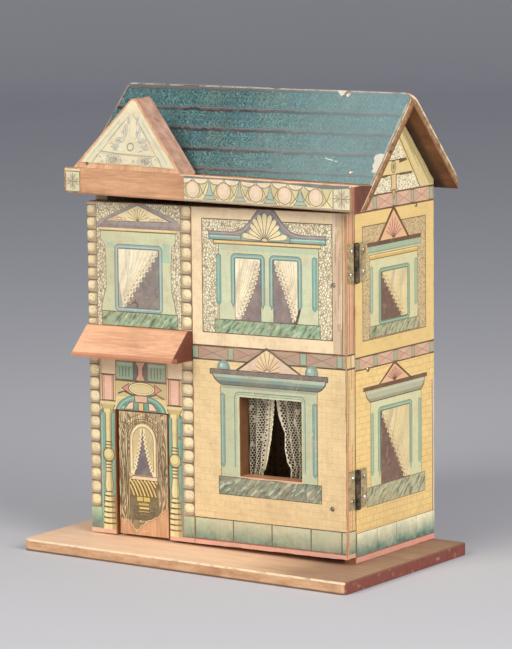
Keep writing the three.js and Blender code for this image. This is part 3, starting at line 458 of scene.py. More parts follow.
def slates(name):
    """Printed slates: four teal bands of small scalloped slates between wavy brown-grey bands."""
    k = Mat(name)
    at = k.node("ShaderNodeAttribute", attribute_name="Print")
    col, al = at.outputs["Color"], at.outputs["Alpha"]
    x, y, z = k.xyz()
    xm = k.mth("MULTIPLY", x, 1000.0)
    s = k.mth("MULTIPLY", k.mth("SUBTRACT", 0.300, z), 1350.0)  # mm down the slope
    flat = k.comb(x, k.mth("MULTIPLY", s, 0.001), 0.0)          # the paper laid flat, in metres
    wav = k.mth("ADD", k.mth("MULTIPLY", k.mth("SUBTRACT", k.noise(55, 3, 0.6, k.comb(x, 0.0, 0.0)), 0.5), 3.4),
                k.mth("MULTIPLY", k.mth("SUBTRACT", k.noise(300, 2, 0.6, k.comb(x, k.mth("MULTIPLY", s, 0.0004), 0.0)), 0.5), 2.6))
    sw = k.mth("ADD", k.mth("ADD", s, wav), k.mth("MULTIPLY", xm, 0.02))
    teal = k.mth("MAXIMUM", k.mth("MAXIMUM", k.band(sw, 5.2, 17.8, 0.5), k.band(sw, 21.8, 33.7, 0.5)), k.mth("MAXIMUM", k.band(sw, 37.7, 49.5, 0.5), k.mth("MAXIMUM", k.band(sw, 53.6, 65.1, 0.5), k.band(sw, 68.8, 90.0, 0.5))))
    # rows of scallops, every second row shifted by half a slate
    row = k.mth("DIVIDE", k.mth("ADD", sw, 2.0), 3.96)
    ri = k.mth("FLOOR", row)
    fr = k.mth("FRACT", row)
    odd = k.mth("SUBTRACT", k.mth("MULTIPLY", k.mth("FRACT", k.mth("MULTIPLY", ri, 0.5)), 4.0), 1.0)
    jit = k.noise(140, 3, 0.6, flat)
    ux = k.mth("ADD", k.mth("ADD", k.mth("DIVIDE", xm, 4.3), k.mth("MULTIPLY", ri, 0.5)), k.mth("MULTIPLY", jit, 1.2))
    fx = k.mth("SUBTRACT", k.mth("FRACT", ux), 0.5)
    arc = k.mth("ADD", k.mth("MULTIPLY", k.mth("MULTIPLY", fx, fx), 2.8), k.mth("SUBTRACT", 1.0, fr))
    c = k.mix(k.ramp(k.noise(330, 3, 0.6, flat), [(0.36, 0.0), (0.64, 1.0)]), lin((60, 108, 108)), lin((88, 140, 138)))
    # crayon strokes: slanting one way in one row and the other way in the next, dark beside pale
    warp = k.mth("MULTIPLY", k.noise(120, 4, 0.6, flat, 0.9), 5.0)
    bend = k.mth("MULTIPLY", k.mth("MULTIPLY", k.mth("SUBTRACT", odd, 0.5), k.mth("MULTIPLY", fr, fr)), 0.8)
    st = k.mth("FRACT", k.mth("ADD", k.mth("ADD", k.mth("DIVIDE", xm, 3.3), bend), k.mth("ADD", warp, k.mth("MULTIPLY", ri, 0.37))))
    strong = k.ramp(k.noise(200, 3, 0.6, flat), [(0.38, 0.15), (0.6, 1.0)])
    c = k.mix(k.mth("MULTIPLY", k.ramp(st, [(0.0, 0.0), (0.12, 0.8), (0.30, 0.2), (0.38, 0.0)]), strong), c, lin((156, 200, 194)))
    c = k.mix(k.mth("MULTIPLY", k.ramp(st, [(0.46, 0.0), (0.58, 1.0), (0.72, 0.7), (0.86, 0.0)]), strong), c, lin((22, 42, 46)))
    c = k.mix(k.mth("MULTIPLY", k.band(arc, 0.16, 0.30, 0.10), 0.6), c, lin((142, 178, 170)))
    c = k.mix(k.mth("MULTIPLY", k.band(arc, 0.0, 0.15, 0.05), k.ramp(k.noise(170, 3, 0.6, flat), [(0.36, 0.2), (0.56, 1.0)])), c, lin((34, 50, 56)))
    # printed panels of slightly different tint, with faint joints
    px = k.mth("ADD", k.mth("DIVIDE", xm, 13.0), k.mth("MULTIPLY", k.mth("FLOOR", k.mth("DIVIDE", sw, 15.6)), 0.43))
    cell = k.comb(k.mth("FLOOR", px), k.mth("FLOOR", k.mth("DIVIDE", sw, 15.6)), 0.0)
    pick = k.node("ShaderNodeTexWhiteNoise", {"Vector": cell}, noise_dimensions="2D").outputs["Value"]
    c = k.mix(k.ramp(pick, [(0.0, 0.55), (0.42, 0.0)]), c, k.mix(0.5, c, lin((72, 98, 124))))
    c = k.mix(k.ramp(pick, [(0.6, 0.0), (1.0, 0.5)]), c, k.mix(0.5, c, lin((132, 150, 126))))
    c = k.mix(k.mth("MULTIPLY", k.band(k.mth("FRACT", px), 0.0, 0.03, 0.02), 0.5), c, lin((44, 60, 62)))
    c = k.mix(k.ramp(k.noise(80, 3, 0.6, flat), [(0.5, 0.0), (0.7, 0.5)]), c, k.mix(0.6, c, lin((88, 86, 80))))
    # darker and paler clouds of crayon
    c = k.mix(k.ramp(k.noise(110, 3, 0.6, flat), [(0.54, 0.0), (0.68, 0.5)]), c, k.mix(0.6, c, lin((34, 58, 66))))
    c = k.mix(k.ramp(k.noise(95, 3, 0.6, k.node("ShaderNodeVectorMath", {0: flat, 1: (0.31, 0.12, 0.0)}, operation="ADD").outputs[0]), [(0.56, 0.0), (0.70, 0.45)]), c, k.mix(0.5, c, lin((120, 186, 186))))
    # wavy bands between the slates, with a pale line above and a dark one below
    pos = k.mth("FRACT", k.mth("DIVIDE", k.mth("SUBTRACT", sw, 18.1), 15.85))
    darkn = k.noise(240, 4, 0.65, k.comb(x, k.mth("MULTIPLY", s, 0.003), 0.0), 0.8)
    g = k.mix(k.ramp(darkn, [(0.38, 0.0), (0.64, 1.0)]), lin((62, 60, 58)), lin((98, 93, 89)))
    g = k.mix(k.ramp(k.noise(70, 3), [(0.46, 0.0), (0.64, 0.6)]), g, lin((128, 104, 108)))
    g = k.mix(k.mth("MULTIPLY", k.band(pos, 0.0, 0.045, 0.02), 0.6), g, lin((150, 158, 150)))
    g = k.mix(k.mth("MULTIPLY", k.band(pos, 0.14, 0.20, 0.02), k.ramp(k.noise(90, 3), [(0.40, 0.1), (0.56, 0.9)])), g, lin((42, 40, 42)))
    c = k.mix(k.mth("MAXIMUM", teal, k.ramp(k.noise(75, 3, 0.6, k.comb(x, 0.3, 0.0)), [(0.60, 0.0), (0.68, 0.6)])), g, c)
    # the ridge strip is plain grey-brown
    c = k.mix(k.mth("MULTIPLY", k.band(sw, -5, 4.2, 0.6), 0.85), c, k.mix(k.noise(300, 4, 0.7), lin((84, 90, 88)), lin((136, 140, 134))))
    # paler and greyer towards the right, darker at the left
    c = k.mix(k.mth("MULTIPLY", k.band(x, 0.07, 0.3, 0.08), 0.9), c, k.mix(0.55, c, lin((164, 194, 192))))
    c = k.mix(k.mth("MULTIPLY", k.band(x, -0.3, -0.05, 0.06), 0.08), c, k.mix(0.5, c, lin((80, 72, 62))))
    c = k.mix(k.ramp(k.noise(20, 3), [(0.44, 0.0), (0.7, 0.35)]), c, k.mix(0.5, c, lin((104, 100, 96))))
    # hairlines that run down the slope, as of folded paper
    hair = k.noise(60, 2, 0.5, k.comb(k.mth("MULTIPLY", x, 7.0), k.mth("MULTIPLY", s, 0.0004), 0.2))
    c = k.mix(k.ramp(hair, [(0.66, 0.0), (0.70, 0.35)]), c, lin((160, 176, 170)))
    c = k.mix(1.0, c, (0.71, 0.705, 0.715), "MULTIPLY")
    # worn ridge and ends: paper core shows
    top = k.mth("ADD", k.mth("MULTIPLY", k.mth("SUBTRACT", 115.0, xm), 0.01188), 0.25)
    wear = k.mth("MAXIMUM", k.band(k.mth("SUBTRACT", s, top), -4, 0.5, 0.5), k.band(x, 0.1139, 0.2, 0.0006))
    c = k.mix(k.mth("MULTIPLY", wear, k.ramp(k.noise(130, 4, 0.7), [(0.40, 0.0), (0.56, 0.8)])), c, lin((186, 184, 172)))
    left = k.mth("ADD", xm, k.mth("MULTIPLY", s, 0.0456))
    leftw = k.band(left, -200.0, -103.6, 0.6)
    c = k.mix(k.mth("MULTIPLY", leftw, k.ramp(k.noise(130, 4, 0.7), [(0.36, 0.2), (0.54, 0.9)])), c, lin((168, 146, 112)))
    flick = k.mth("MULTIPLY", k.ramp(k.noise(160, 4, 0.75, k.comb(x, k.mth("MULTIPLY", s, 0.002), 0.3)), [(0.66, 0.0), (0.70, 0.9)]), k.ramp(k.noise(28, 2), [(0.5, 0.0), (0.6, 1.0)]))
    c = k.mix(flick, c, lin((196, 206, 194)))
    c = k.mix(k.code(al, BARE), c, k.mix(k.ramp(k.noise(160, 3), [(0.4, 0.0), (0.7, 0.5)]), col, lin((214, 204, 184))))
    k.bump(k.mth("ADD", k.mth("MULTIPLY", st, 0.3), k.noise(900, 3)), 0.2, 0.0003)
    return k.done(c, k.ramp(k.noise(60, 4, 0.6), [(0.3, 0.42), (0.7, 0.62)]))


M_SLATE = slates("litho_slates")


# ------------------------------------------------------------------ drawing
class Art:
    """A drawing in millimetres, painted back to front as filled outlines."""

    def __init__(s):
        s.items = []

    def poly(s, pts, col, code=PLAIN):
        s.items.append(([(float(a), float(b)) for a, b in pts], lin(col) if max(col) > 1 else col, code))
        return s

    def rect(s, x0, z0, x1, z1, col, code=PLAIN):
        return s.poly([(x0, z0), (x1, z0), (x1, z1), (x0, z1)], col, code)

    def line(s, pts, w, col, code=PLAIN):
        h = w / 2
        for (ax, az), (bx, bz) in zip(pts, pts[1:]):
            d = math.hypot(bx - ax, bz - az)
            if d < 1e-6:
                continue
            ex, ez = (bx - ax) / d * h, (bz - az) / d * h
            nx, nz = -ez, ex
            q = 0.45
            s.poly([(ax - ex * q + nx, az - ez * q + nz), (ax - ex * q - nx, az - ez * q - nz), (bx + ex * q - nx, bz + ez * q - nz), (bx + ex * q + nx, bz + ez * q + nz)], col, code)
        return s

    def ell(s, cx, cz, rx, rz, col, code=PLAIN, n=20, a0=0, a1=360):
        full = a1 - a0 >= 360
        pts = [(cx + rx * math.cos(math.radians(a0 + (a1 - a0) * i / n)), cz + rz * math.sin(math.radians(a0 + (a1 - a0) * i / n))) for i in range(n if full else n + 1)]
        return s.poly(pts, col, code)

    def outlined(s, pts, w, line, fill, code=PLAIN):
        s.poly(pts, fill, code)
        return s.line(list(pts) + [pts[0]], w, line)

    def box(s, x0, z0, x1, z1, w, line, fill, code=PLAIN):
        return s.rect(x0 - w / 2, z0 - w / 2, x1 + w / 2, z1 + w / 2, line).rect(x0 + w / 2, z0 + w / 2, x1 - w / 2, z1 - w / 2, fill, code)

    def rbox(s, x0, z0, x1, z1, r, col, code=PLAIN, which=(1, 1, 1, 1)):
        pts = []
        for (cx, cz, a, sx, sz), on in zip([(x1 - r, z0 + r, -90, x1, z0), (x1 - r, z1 - r, 0, x1, z1), (x0 + r, z1 - r, 90, x0, z1), (x0 + r, z0 + r, 180, x0, z0)], which):
            if on:
                pts += [(cx + r * math.cos(math.radians(a + 22.5 * i)), cz + r * math.sin(math.radians(a + 22.5 * i))) for i in range(5)]
            else:
                pts.append((sx, sz))
        return s.poly(pts, col, code)


def smooth_noise(a, seed):
    return noise.noise((a * 0.13, seed * 7.31, 0.5))


def ragged(pts, amp=0.35, step=2.0, seed=1):
    """The outline of a cut and worn sheet: every side is nibbled inwards a little."""
    rnd = random.Random(seed)
    area = sum(a[0] * b[1] - b[0] * a[1] for a, b in zip(pts, pts[1:] + pts[:1]))
    out = []
    for (ax, az), (bx, bz) in zip(pts, pts[1:] + pts[:1]):
        d = math.hypot(bx - ax, bz - az)
        n = max(1, int(d / step))
        nx, nz = -(bz - az) / d, (bx - ax) / d
        if area < 0:
            nx, nz = -nx, -nz
        for i in range(n):
            t = i / n
            off = 0 if i == 0 else amp * (0.25 * rnd.random() + max(0, smooth_noise(t * d, seed + ax)) * 1.5)
            out.append((ax + (bx - ax) * t + nx * off, az + (bz - az) * t + nz * off))
    return out


def inside(pt, poly):
    x, z = pt
    c = False
    for (ax, az), (bx, bz) in zip(poly, poly[1:] + poly[:1]):
        if (az > z) != (bz > z) and x < (bx - ax) * (z - az) / (bz - az) + ax:
            c = not c
    return c


def ccw(p):
    return p if sum(a[0] * b[1] - b[0] * a[1] for a, b in zip(p, p[1:] + p[:1])) > 0 else p[::-1]


PAPER_BACK = lin((206, 180, 138))


def sheet(name, outline, holes, art, place, thick, mat, ground, body, nodes, ground_code=PLAIN, back=PAPER_BACK):
    """A sheet of paper with a drawing on its face. place(u, v, w) gives the point in millimetres, w from 0 on the face to 1 on the back."""
    us, vs = [p[0] for p in outline], [p[1] for p in outline]
    u0, u1, v0, v1 = min(us), max(us), min(vs), max(vs)
    polys, cols = [ccw(outline)] + [ccw(h) for h in holes], []
    for pts, col, code in art.items:
        if max(p[0] for p in pts) < u0 or min(p[0] for p in pts) > u1 or max(p[1] for p in pts) < v0 or min(p[1] for p in pts) > v1:
            continue
        polys.append(ccw(pts))
        cols.append((col, code))
    first = 1 + len(holes)
    verts, faces = [], []
    for p in polys:
        faces.append(list(range(len(verts), len(verts) + len(p))))
        verts += [Vector(q) for q in p]
    vo, _, fo, _, _, of = delaunay_2d_cdt(verts, [], faces, 1, 1e-5)
    keep = []
    for f, src in zip(fo, of):
        if 0 not in src or any(0 < i < first for i in src):
            continue
        top = max([i for i in src if i >= first], default=None)
        keep.append((f, cols[top - first] if top is not None else (lin(ground), ground_code)))
    bm = bmesh.new()
    colour = bm.loops.layers.float_color.new("Print")
    uvl = bm.loops.layers.uv.new("OFBake")
    used = sorted({i for f, _ in keep for i in f})
    front = {i: bm.verts.new([c * MM for c in place(vo[i][0], vo[i][1], 0)]) for i in used}
    rear = {i: bm.verts.new([c * MM for c in place(vo[i][0], vo[i][1], 1)]) for i in used}
    W, H = u1 - u0, v1 - v0

    def put(face, c, code, uvs):
        for lp, q in zip(face.loops, uvs):
            lp[colour] = (*c, code / 20)
            lp[uvl].uv = q

    uv = {i: (0.004 + 0.992 * (vo[i][0] - u0) / W, 0.004 + 0.93 * (vo[i][1] - v0) / H) for i in used}
    uvb = {i: (0.004 + 0.992 * (vo[i][0] - u0) / W, 0.962 + 0.034 * (vo[i][1] - v0) / H) for i in used}
    count = {}
    for f, (c, code) in keep:
        try:
            put(bm.faces.new([front[i] for i in f]), c, code, [uv[i] for i in f])
            r = f[::-1]
            put(bm.faces.new([rear[i] for i in r]), back, PLAIN, [uvb[i] for i in r])
        except ValueError:
            continue
        for a, b in zip(f, list(f[1:]) + [f[0]]):
            count.setdefault((min(a, b), max(a, b)), []).append((a, b))
    for e in count.values():
        if len(e) == 1:
            a, b = e[0]
            fc = bm.faces.new([front[b], front[a], rear[a], rear[b]])
            ua, ub = uv[a], uv[b]
            k = 0.942 if abs(ua[0] - ub[0]) > abs(ua[1] - ub[1]) else 0.950
            pa = ua[0] if k < 0.945 else ua[1]
            pb = ub[0] if k < 0.945 else ub[1]
            put(fc, back, PLAIN, [(pb, k), (pa, k), (pa, k + 0.005), (pb, k + 0.005)])
    bmesh.ops.recalc_face_normals(bm, faces=bm.faces)
    me = bpy.data.meshes.new(name)
    bm.to_mesh(me)
    bm.free()
    me.materials.append(mat)
    o = bpy.data.objects.new(name, me)
    bpy.context.collection.objects.link(o)
    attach(o, body)
    if nodes:
        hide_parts(*nodes)
    return o


# palette of the print
FIELD = (238, 210, 157)
CREAM = (246, 228, 180)
YELLOW = (250, 216, 142)
PALEGREEN = (209, 215, 177)
GREYGREEN = (194, 200, 164)
TEAL = (122, 172, 160)
TEALLT = (168, 206, 188)
TEALDK = (88, 124, 116)
GREYP = (138, 128, 128)
DARK = (112, 98, 94)
BROWND = (104, 76, 64)
LINE = (112, 95, 68)
LINEDK = (80, 66, 50)
PINK = (232, 184, 156)
SALMON = (232, 174, 156)
GRAIN = (248, 238, 202)
CURTAIN = (255, 244, 210)


def quoins(a, x0, x1, edges, mirror=False, seed=0):
    """A column of rounded blocks between the given heights; the bulging side is the outer one, or the inner one if mirrored."""
    rnd = random.Random(seed + int(x0))
    a.rect(x0, edges[0], x1, edges[-1], (120, 104, 88))
    for lo, hi in zip(edges, edges[1:]):
        j = rnd.uniform(-0.3, 0.3)
        wh = (0, 0, 1, 1) if mirror else (1, 1, 0, 0)
        h = hi - lo
        a.rbox(x0 + 0.1, lo + 0.15, x1 - 0.1, hi - 0.15, 2.6, LINEDK, PLAIN, wh)
        a.rbox(x0 + 0.4, lo + 0.45, x1 - 0.4, hi - 0.35, 2.4, (184, 164, 130), PLAIN, wh)
        hl = rnd.choice([(250, 236, 184), (248, 230, 172), (250, 226, 180)])
        if mirror:
            a.rbox(x0 + 0.5, lo + h * 0.30 + j, x1 - 1.9, hi - 0.6, 2.3, (230, 212, 168), PLAIN, (1, 0, 1, 1))
            a.rbox(x0 + 0.8, lo + h * 0.42 + j, x1 - 3.2, hi - 0.9, 1.9, hl, PLAIN, (1, 1, 1, 1))
        else:
            a.rbox(x0 + 1.5, lo + h * 0.25 + j, x1 - 0.6, hi - 0.6, 2.4, (230, 212, 168), PLAIN, (1, 1, 1, 1))
            a.rbox(x0 + 2.5, lo + h * 0.40 + j, x1 - 1.1, hi - 0.9, 2.0, hl, PLAIN, (1, 1, 1, 1))
        for _ in range(3):
            px, pz = rnd.uniform(x0 + 1.5, x1 - 1.5), rnd.uniform(lo + 1.2, hi - 1.2)
            a.line([(px, pz), (px + rnd.uniform(0.6, 1.6), pz - rnd.uniform(0.2, 1.2))], 0.25, (150, 126, 98))


def fan(a, cx, cz, r_in, r_out, a0, a1, n, fill, line, shape):
    """Petals of a sunburst, clipped by nothing: shape(angle) gives the reach."""
    for i in range(n):
        t0, t1 = math.radians(a0 + (a1 - a0) * i / n), math.radians(a0 + (a1 - a0) * (i + 1) / n)
        tm = (t0 + t1) / 2
        R = shape(tm) if shape else r_out
        w = (t1 - t0) * 0.43
        pts = [(cx + r_in * math.cos(tm), cz + r_in * math.sin(tm))]
        for d, q in [(-w, 0.62), (-w, 0.86), (-w * 0.55, 0.97), (0, 1.0), (w * 0.55, 0.97), (w, 0.86), (w, 0.62)]:
            pts.append((cx + R * q * math.cos(tm + d), cz + R * q * math.sin(tm + d)))
        a.poly(pts, fill)
        a.line([(cx + r_in * math.cos(t0), cz + r_in * math.sin(t0)), (cx + R * 0.98 * math.cos(t0), cz + R * 0.98 * math.sin(t0))], 0.35, line)
    a.line([(cx + r_in * math.cos(math.radians(a1)), cz + r_in * math.sin(math.radians(a1))), (cx + r_out * 0.9 * math.cos(math.radians(a1)), cz + r_out * 0.9 * math.sin(math.radians(a1)))], 0.35, line)


def lace_edge(p, q, w, n, seed, side=1):
    """A scalloped band along the line p-q: returns the polygon's wavy side."""
    rnd = random.Random(seed)
    (ax, az), (bx, bz) = p, q
    d = math.hypot(bx - ax, bz - az)
    nx, nz = -(bz - az) / d * side, (bx - ax) / d * side
    out = []
    for i in range(n * 4 + 1):
        t = i / (n * 4)
        o = w * (0.55 + 0.45 * abs(math.sin(math.pi * i / 4))) * (0.85 + 0.3 * rnd.random())
        out.append((ax + (bx - ax) * t + nx * o, az + (bz - az) * t + nz * o))
    return out


def drawn_curtain(a, pane, top, bottom, keep_left, seed, dark, bow=0.0, n=10, cloth=CURTAIN):
    """A pane with a curtain swept to one side. Its lace edge runs from top to bottom, bowed towards the curtain."""
    x0, z0, x1, z1 = pane
    a.rect(x0, z0, x1, z1, dark, WASH)
    dx, dz = top[0] - bottom[0], top[1] - bottom[1]
    L = math.hypot(dx, dz)
    nx, nz = (dz / L, -dx / L) if keep_left else (-dz / L, dx / L)  # towards the open pane

    def at(t, off):
        o = off - bow * 4 * t * (1 - t)
        return (bottom[0] + dx * t + nx * o, bottom[1] + dz * t + nz * o)

    edge = [at(i / 24, 0.5) for i in range(25)]
    a.poly(edge + [(top[0], z1), (x0 if keep_left else x1, z1), (x0 if keep_left else x1, bottom[1])], cloth, DRAPE)
    rnd = random.Random(seed + 5)
    inside_pane = lambda p, m=0.2: x0 + m < p[0] < x1 - m and z0 + m < p[1] < z1 - m
    # pencilled folds that fan out from the gathered corner
    far = x0 if keep_left else x1
    for i in range(7):
        t = 0.12 + 0.11 * i
        tx, tz = top[0] + (far - top[0]) * (0.10 + 0.12 * i), z1 - 0.8
        bx, bz = at(0.06 + 0.05 * i, -5.0 - 0.4 * i)
        bx = min(max(bx, x0 + 0.7), x1 - 0.7)
        pts = [(tx, tz), ((tx + bx) / 2 + (tx - bx) * 0.12, (tz + bz) / 2), (bx, bz)]
        a.line(pts, 0.35, rnd.choice([(214, 204, 166), (226, 198, 150), (196, 196, 168)]), DRAPE)
    # fringe of scallops, a chain of rings, and a row of eyelets
    for i in range(n):
        t = (i + 0.5) / n
        p = at(t, 0.75 + rnd.uniform(-0.2, 0.2))
        if inside_pane(p, 1.3):
            a.ell(p[0], p[1], 1.35, 1.35, LINE, PLAIN, 10)
            a.ell(p[0], p[1], 1.15, 1.15, cloth, PLAIN, 10)
        q = at(t, 0.55)
        if inside_pane(q, 0.9):
            a.ell(q[0], q[1], 0.62, 0.62, (122, 100, 74), PLAIN, 8)
            a.ell(q[0], q[1], 0.28, 0.28, (214, 190, 148), PLAIN, 6)
        r = at((i + 0.05) / n, -1.5)
        if inside_pane(r, 0.9):
            a.ell(r[0], r[1], 0.7, 0.7, (160, 136, 100), PLAIN, 8)
            a.ell(r[0], r[1], 0.38, 0.38, (238, 218, 174), PLAIN, 6)
        for off in (-2.9, -4.0):
            w = at((i + 0.5) / n, off)
            if inside_pane(w, 0.6):
                a.ell(w[0], w[1], 0.26, 0.26, (166, 144, 108), PLAIN, 6)
    a.line([at(t, -2.3) for t in (0.08, 0.3, 0.5, 0.7, 0.9)], 0.22, (190, 166, 124))


def moulding(a, x0, z0, x1, z1, w, r=2.0, bottom=False, dk=TEALDK, mid=TEAL, lt=TEALLT):
    """A blue-green moulding drawn round an opening: dark outlines, a middle tone and a light inner line."""
    wh = (0, 1, 1, 0) if not bottom else (1, 1, 1, 1)
    d = lambda v: v if bottom else 0
    a.rbox(x0 - 0.4, z0 - d(0.4), x1 + 0.4, z1 + 0.4, r + 0.4, dk, PLAIN, wh)
    a.rbox(x0, z0 + d(0.0), x1, z1, r, mid, PLAIN, wh)
    a.rbox(x0 + w * 0.42, z0 + d(w * 0.42), x1 - w * 0.42, z1 - w * 0.42, max(0.9, r - w * 0.4), lt, PLAIN, wh)
    a.rbox(x0 + w * 0.70, z0 + d(w * 0.70), x1 - w * 0.70, z1 - w * 0.70, max(0.8, r - w * 0.7), mid, PLAIN, wh)
    a.rbox(x0 + w - 0.4, z0 + d(w - 0.4), x1 - w + 0.4, z1 - w + 0.4, max(0.6, r - w + 0.8), dk, PLAIN, wh)


def groove(a, x0, z0, x1, z1, dk=TEALDK, mid=TEAL, side=1):
    """An upright groove with a splayed foot and head."""
    pts = [(x0, z0 + 2.2), (x0 + (x1 - x0) * 0.5, z0), (x1, z0 + 2.2), (x1, z1 - 1.2), ((x0 + x1) / 2, z1), (x0, z1 - 1.2)]
    a.poly([(px + (0.35 if px > (x0 + x1) / 2 else -0.35 if px < (x0 + x1) / 2 else 0), pz + (0.4 if pz > (z0 + z1) / 2 else -0.4)) for px, pz in pts], dk)
    a.poly(pts, mid)
    a.line([((x0 + x1) / 2 - 0.35 * side, z0 + 3), ((x0 + x1) / 2 - 0.35 * side, z1 - 2)], 0.5, TEALLT)


# ---- facade, left bay, upper floor
front = Art()
front.rect(-101, 145, -16, 229, (216, 190, 156))
front.rect(-92.2, 147, -25.6, 228, GRAIN, STIPPLE)
quoins(front, -100.6, -92.2, [146.8] + [151.8 + 8.2 * i for i in range(10)], True)
quoins(front, -25.6, -16.8, [147.9 + 8.85 * i for i in range(10)])
# gable band
front.poly([(-92.2, 210.8), (-92.2, 214.0), (-88.0, 216.6), (-59, 228.8), (-30, 218.6), (-25.6, 215.4), (-25.6, 210.8)], (146, 138, 128), WASH)
front.poly([(-91.8, 211.4), (-91.8, 213.8), (-87.8, 216.2), (-59, 228.2), (-30.2, 218.2), (-26.0, 215.2), (-26.0, 211.4)], (158, 154, 152), WASH)
front.poly([(-91.4, 211.2), (-91.4, 213.2), (-26.4, 213.2), (-26.4, 211.2)], (152, 132, 140), WASH)
front.poly([(-86.0, 215.6), (-59, 226.6), (-32.4, 216.6), (-33.0, 215.9), (-85.4, 215.2)], (116, 106, 96))
front.poly([(-84.6, 215.6), (-59, 226.0), (-34.0, 216.4)], CREAM)
front.poly([(-84.2, 215.7), (-75, 219.2), (-66.5, 216.0)], PINK)
front.poly([(-34.8, 216.4), (-42, 219.4), (-51, 216.2)], (244, 216, 178))
fan(front, -59.1, 216.2, 1.6, 8.6, 16, 164, 8, (248, 230, 176), (120, 104, 84), lambda t: 8.4 if abs(math.cos(t)) < 0.8 else 9.6)
front.poly([(-60.6, 216.0), (-57.6, 216.0), (-59.1, 218.4)], (104, 90, 72))
for m in (-1, 1):
    for k in (0, 1, 2):
        front.ell(-59.1 + m * (11.4 + 3.4 * k), 217.0 + 0.1 * k, 2.1, 0.95 - 0.15 * k, (132, 112, 88), PLAIN, 12)
        front.ell(-59.1 + m * (11.4 + 3.4 * k), 217.0 + 0.1 * k, 1.7, 0.65 - 0.12 * k, (246, 222, 174), PLAIN, 12)
front.rect(-91.4, 211.0, -26.4, 211.5, (132, 120, 112))
front.rect(-90.0, 209.4, -28.4, 211.0, (240, 218, 156))
front.rect(-90.0, 209.4, -28.4, 209.8, (212, 186, 120))
front.rect(-90.4, 208.7, -28.0, 209.4, (104, 88, 66))
front.rect(-89.4, 157.0, -29.2, 208.8, (136, 124, 96))
front.rect(-88.9, 157.0, -29.7, 208.7, (212, 216, 174))
front.poly([(-88.9, 157.0), (-88.9, 203.4), (-85.8, 200), (-84.9, 190), (-84.9, 172), (-87.6, 164)], LINE)
front.poly([(-89.2, 157.0), (-89.2, 203.4), (-86.2, 200), (-85.3, 190), (-85.3, 172), (-88.2, 164)], GRAIN, STIPPLE)
front.poly([(-29.7, 157.0), (-29.7, 203.4), (-32.4, 200), (-33.2, 190), (-33.2, 172), (-31.0, 164)], LINE)
front.poly([(-29.4, 157.0), (-29.4, 203.4), (-32.0, 200), (-32.8, 190), (-32.8, 172), (-30.4, 164)], GRAIN, STIPPLE)
front.rect(-84, 198, -78.6, 201.5, (176, 208, 176))
front.rect(-40, 190, -34, 202.5, (176, 208, 176))
moulding(front, -77.9, 157.2, -40.2, 200.4, 2.5, 3.0, True, (92, 118, 118), (144, 176, 170), (188, 208, 198))
drawn_curtain(front, (-75.0, 160.0, -43.2, 197.6), (-43.8, 196.6), (-71.6, 160.0), True, 3, (134, 128, 126), 0.0, 11)
front.poly([(-75, 160.2), (-75, 178), (-72.8, 166), (-71.8, 160.2)], (168, 184, 166), DRAPE)
for p in ([(-66.6, 161.2), (-63.6, 163.2), (-61.4, 163.0)], [(-62.4, 164.8), (-60.6, 162.8), (-60.2, 160.6)]):
    front.line(p, 0.9, (108, 44, 36))
front.rect(-89.0, 147.4, -28.0, 157.0, LINEDK)
front.rect(-88.5, 147.8, -28.5, 156.5, (158, 188, 150), MARBLE)
# ---- facade, right bay, upper floor
front.rect(-16.4, 138, 101, 229, (248, 222, 180))
front.rect(-8.8, 147.3, 90.7, 220.4, LINEDK)
front.rect(-8.2, 147.9, 90.1, 219.8, GRAIN, STIPPLE)
outer = [(-3.4, 212.6), (15.6, 212.6), (22.4, 214.8), (28.6, 220.2), (34.6, 227.4), (41, 230.2), (47.4, 227.2), (53.2, 220.0), (59.6, 214.4), (66, 212.6), (86.2, 212.6)]
front.poly(outer + [(86.2, 206.8), (-3.4, 206.8)], (112, 104, 98))
front.poly([(-2.9, 212.1), (15.8, 212.1), (22.8, 214.2), (29.0, 219.6), (35.0, 226.8), (41, 229.6), (47.0, 226.6), (52.8, 219.4), (59.2, 213.8), (65.8, 212.1), (85.7, 212.1), (85.7, 207.2), (-2.9, 207.2)], (150, 142, 144), WASH)
front.line([(-2.4, 211.4), (15.8, 211.4), (23.2, 213.2), (29.8, 218.8), (35.6, 225.4), (41, 227.9), (46.6, 225.2), (52.2, 218.6), (58.8, 213.0), (65.8, 211.3), (85.2, 211.3)], 0.7, (172, 160, 160))
for xa, xb in ((-2.9, 23.4), (57.2, 85.7)):
    front.rect(xa, 207.2, xb, 210.4, TEALDK)
    front.rect(xa + 0.3, 207.6, xb - 0.3, 210.0, (134, 174, 162))
    front.rect(xa + 0.5, 208.9, xb - 0.5, 209.7, (176, 210, 196))
front.rect(-2.9, 206.8, 85.7, 207.3, LINEDK)
front.poly([(21.4, 207.3), (20.6, 210.8), (25.8, 213.4), (30.8, 218.0), (35.4, 223.6), (39.8, 226.2), (44.4, 223.4), (49.4, 217.6), (54.2, 213.2), (59.8, 210.8), (59.2, 207.3)], TEALDK)
front.poly([(22.2, 207.5), (21.6, 210.5), (26.2, 212.9), (31.2, 217.4), (35.7, 222.9), (39.8, 225.3), (44.1, 222.8), (49.0, 217.1), (53.8, 212.8), (58.9, 210.5), (58.3, 207.5)], (138, 172, 158))
fan(front, 39.8, 207.7, 2.4, 17, 3, 177, 11, (248, 228, 180), LINEDK, lambda t: 12.2 + 5.2 * math.sin(t) ** 2 if math.sin(t) > 0.42 else 17.2)
front.ell(39.8, 207.5, 2.7, 2.3, LINEDK, PLAIN, 12, 0, 180)
front.ell(39.8, 207.5, 2.2, 1.8, (242, 208, 168), PLAIN, 12, 0, 180)
front.rect(0.2, 204.2, 82.4, 206.8, LINE)
front.rect(0.7, 205.0, 81.9, 206.6, (240, 212, 144))
front.rect(0.7, 204.6, 81.9, 205.1, (140, 128, 108))
front.rect(4.0, 155.6, 80.4, 204.4, LINE)
front.rect(4.5, 155.6, 79.9, 204.2, PALEGREEN)
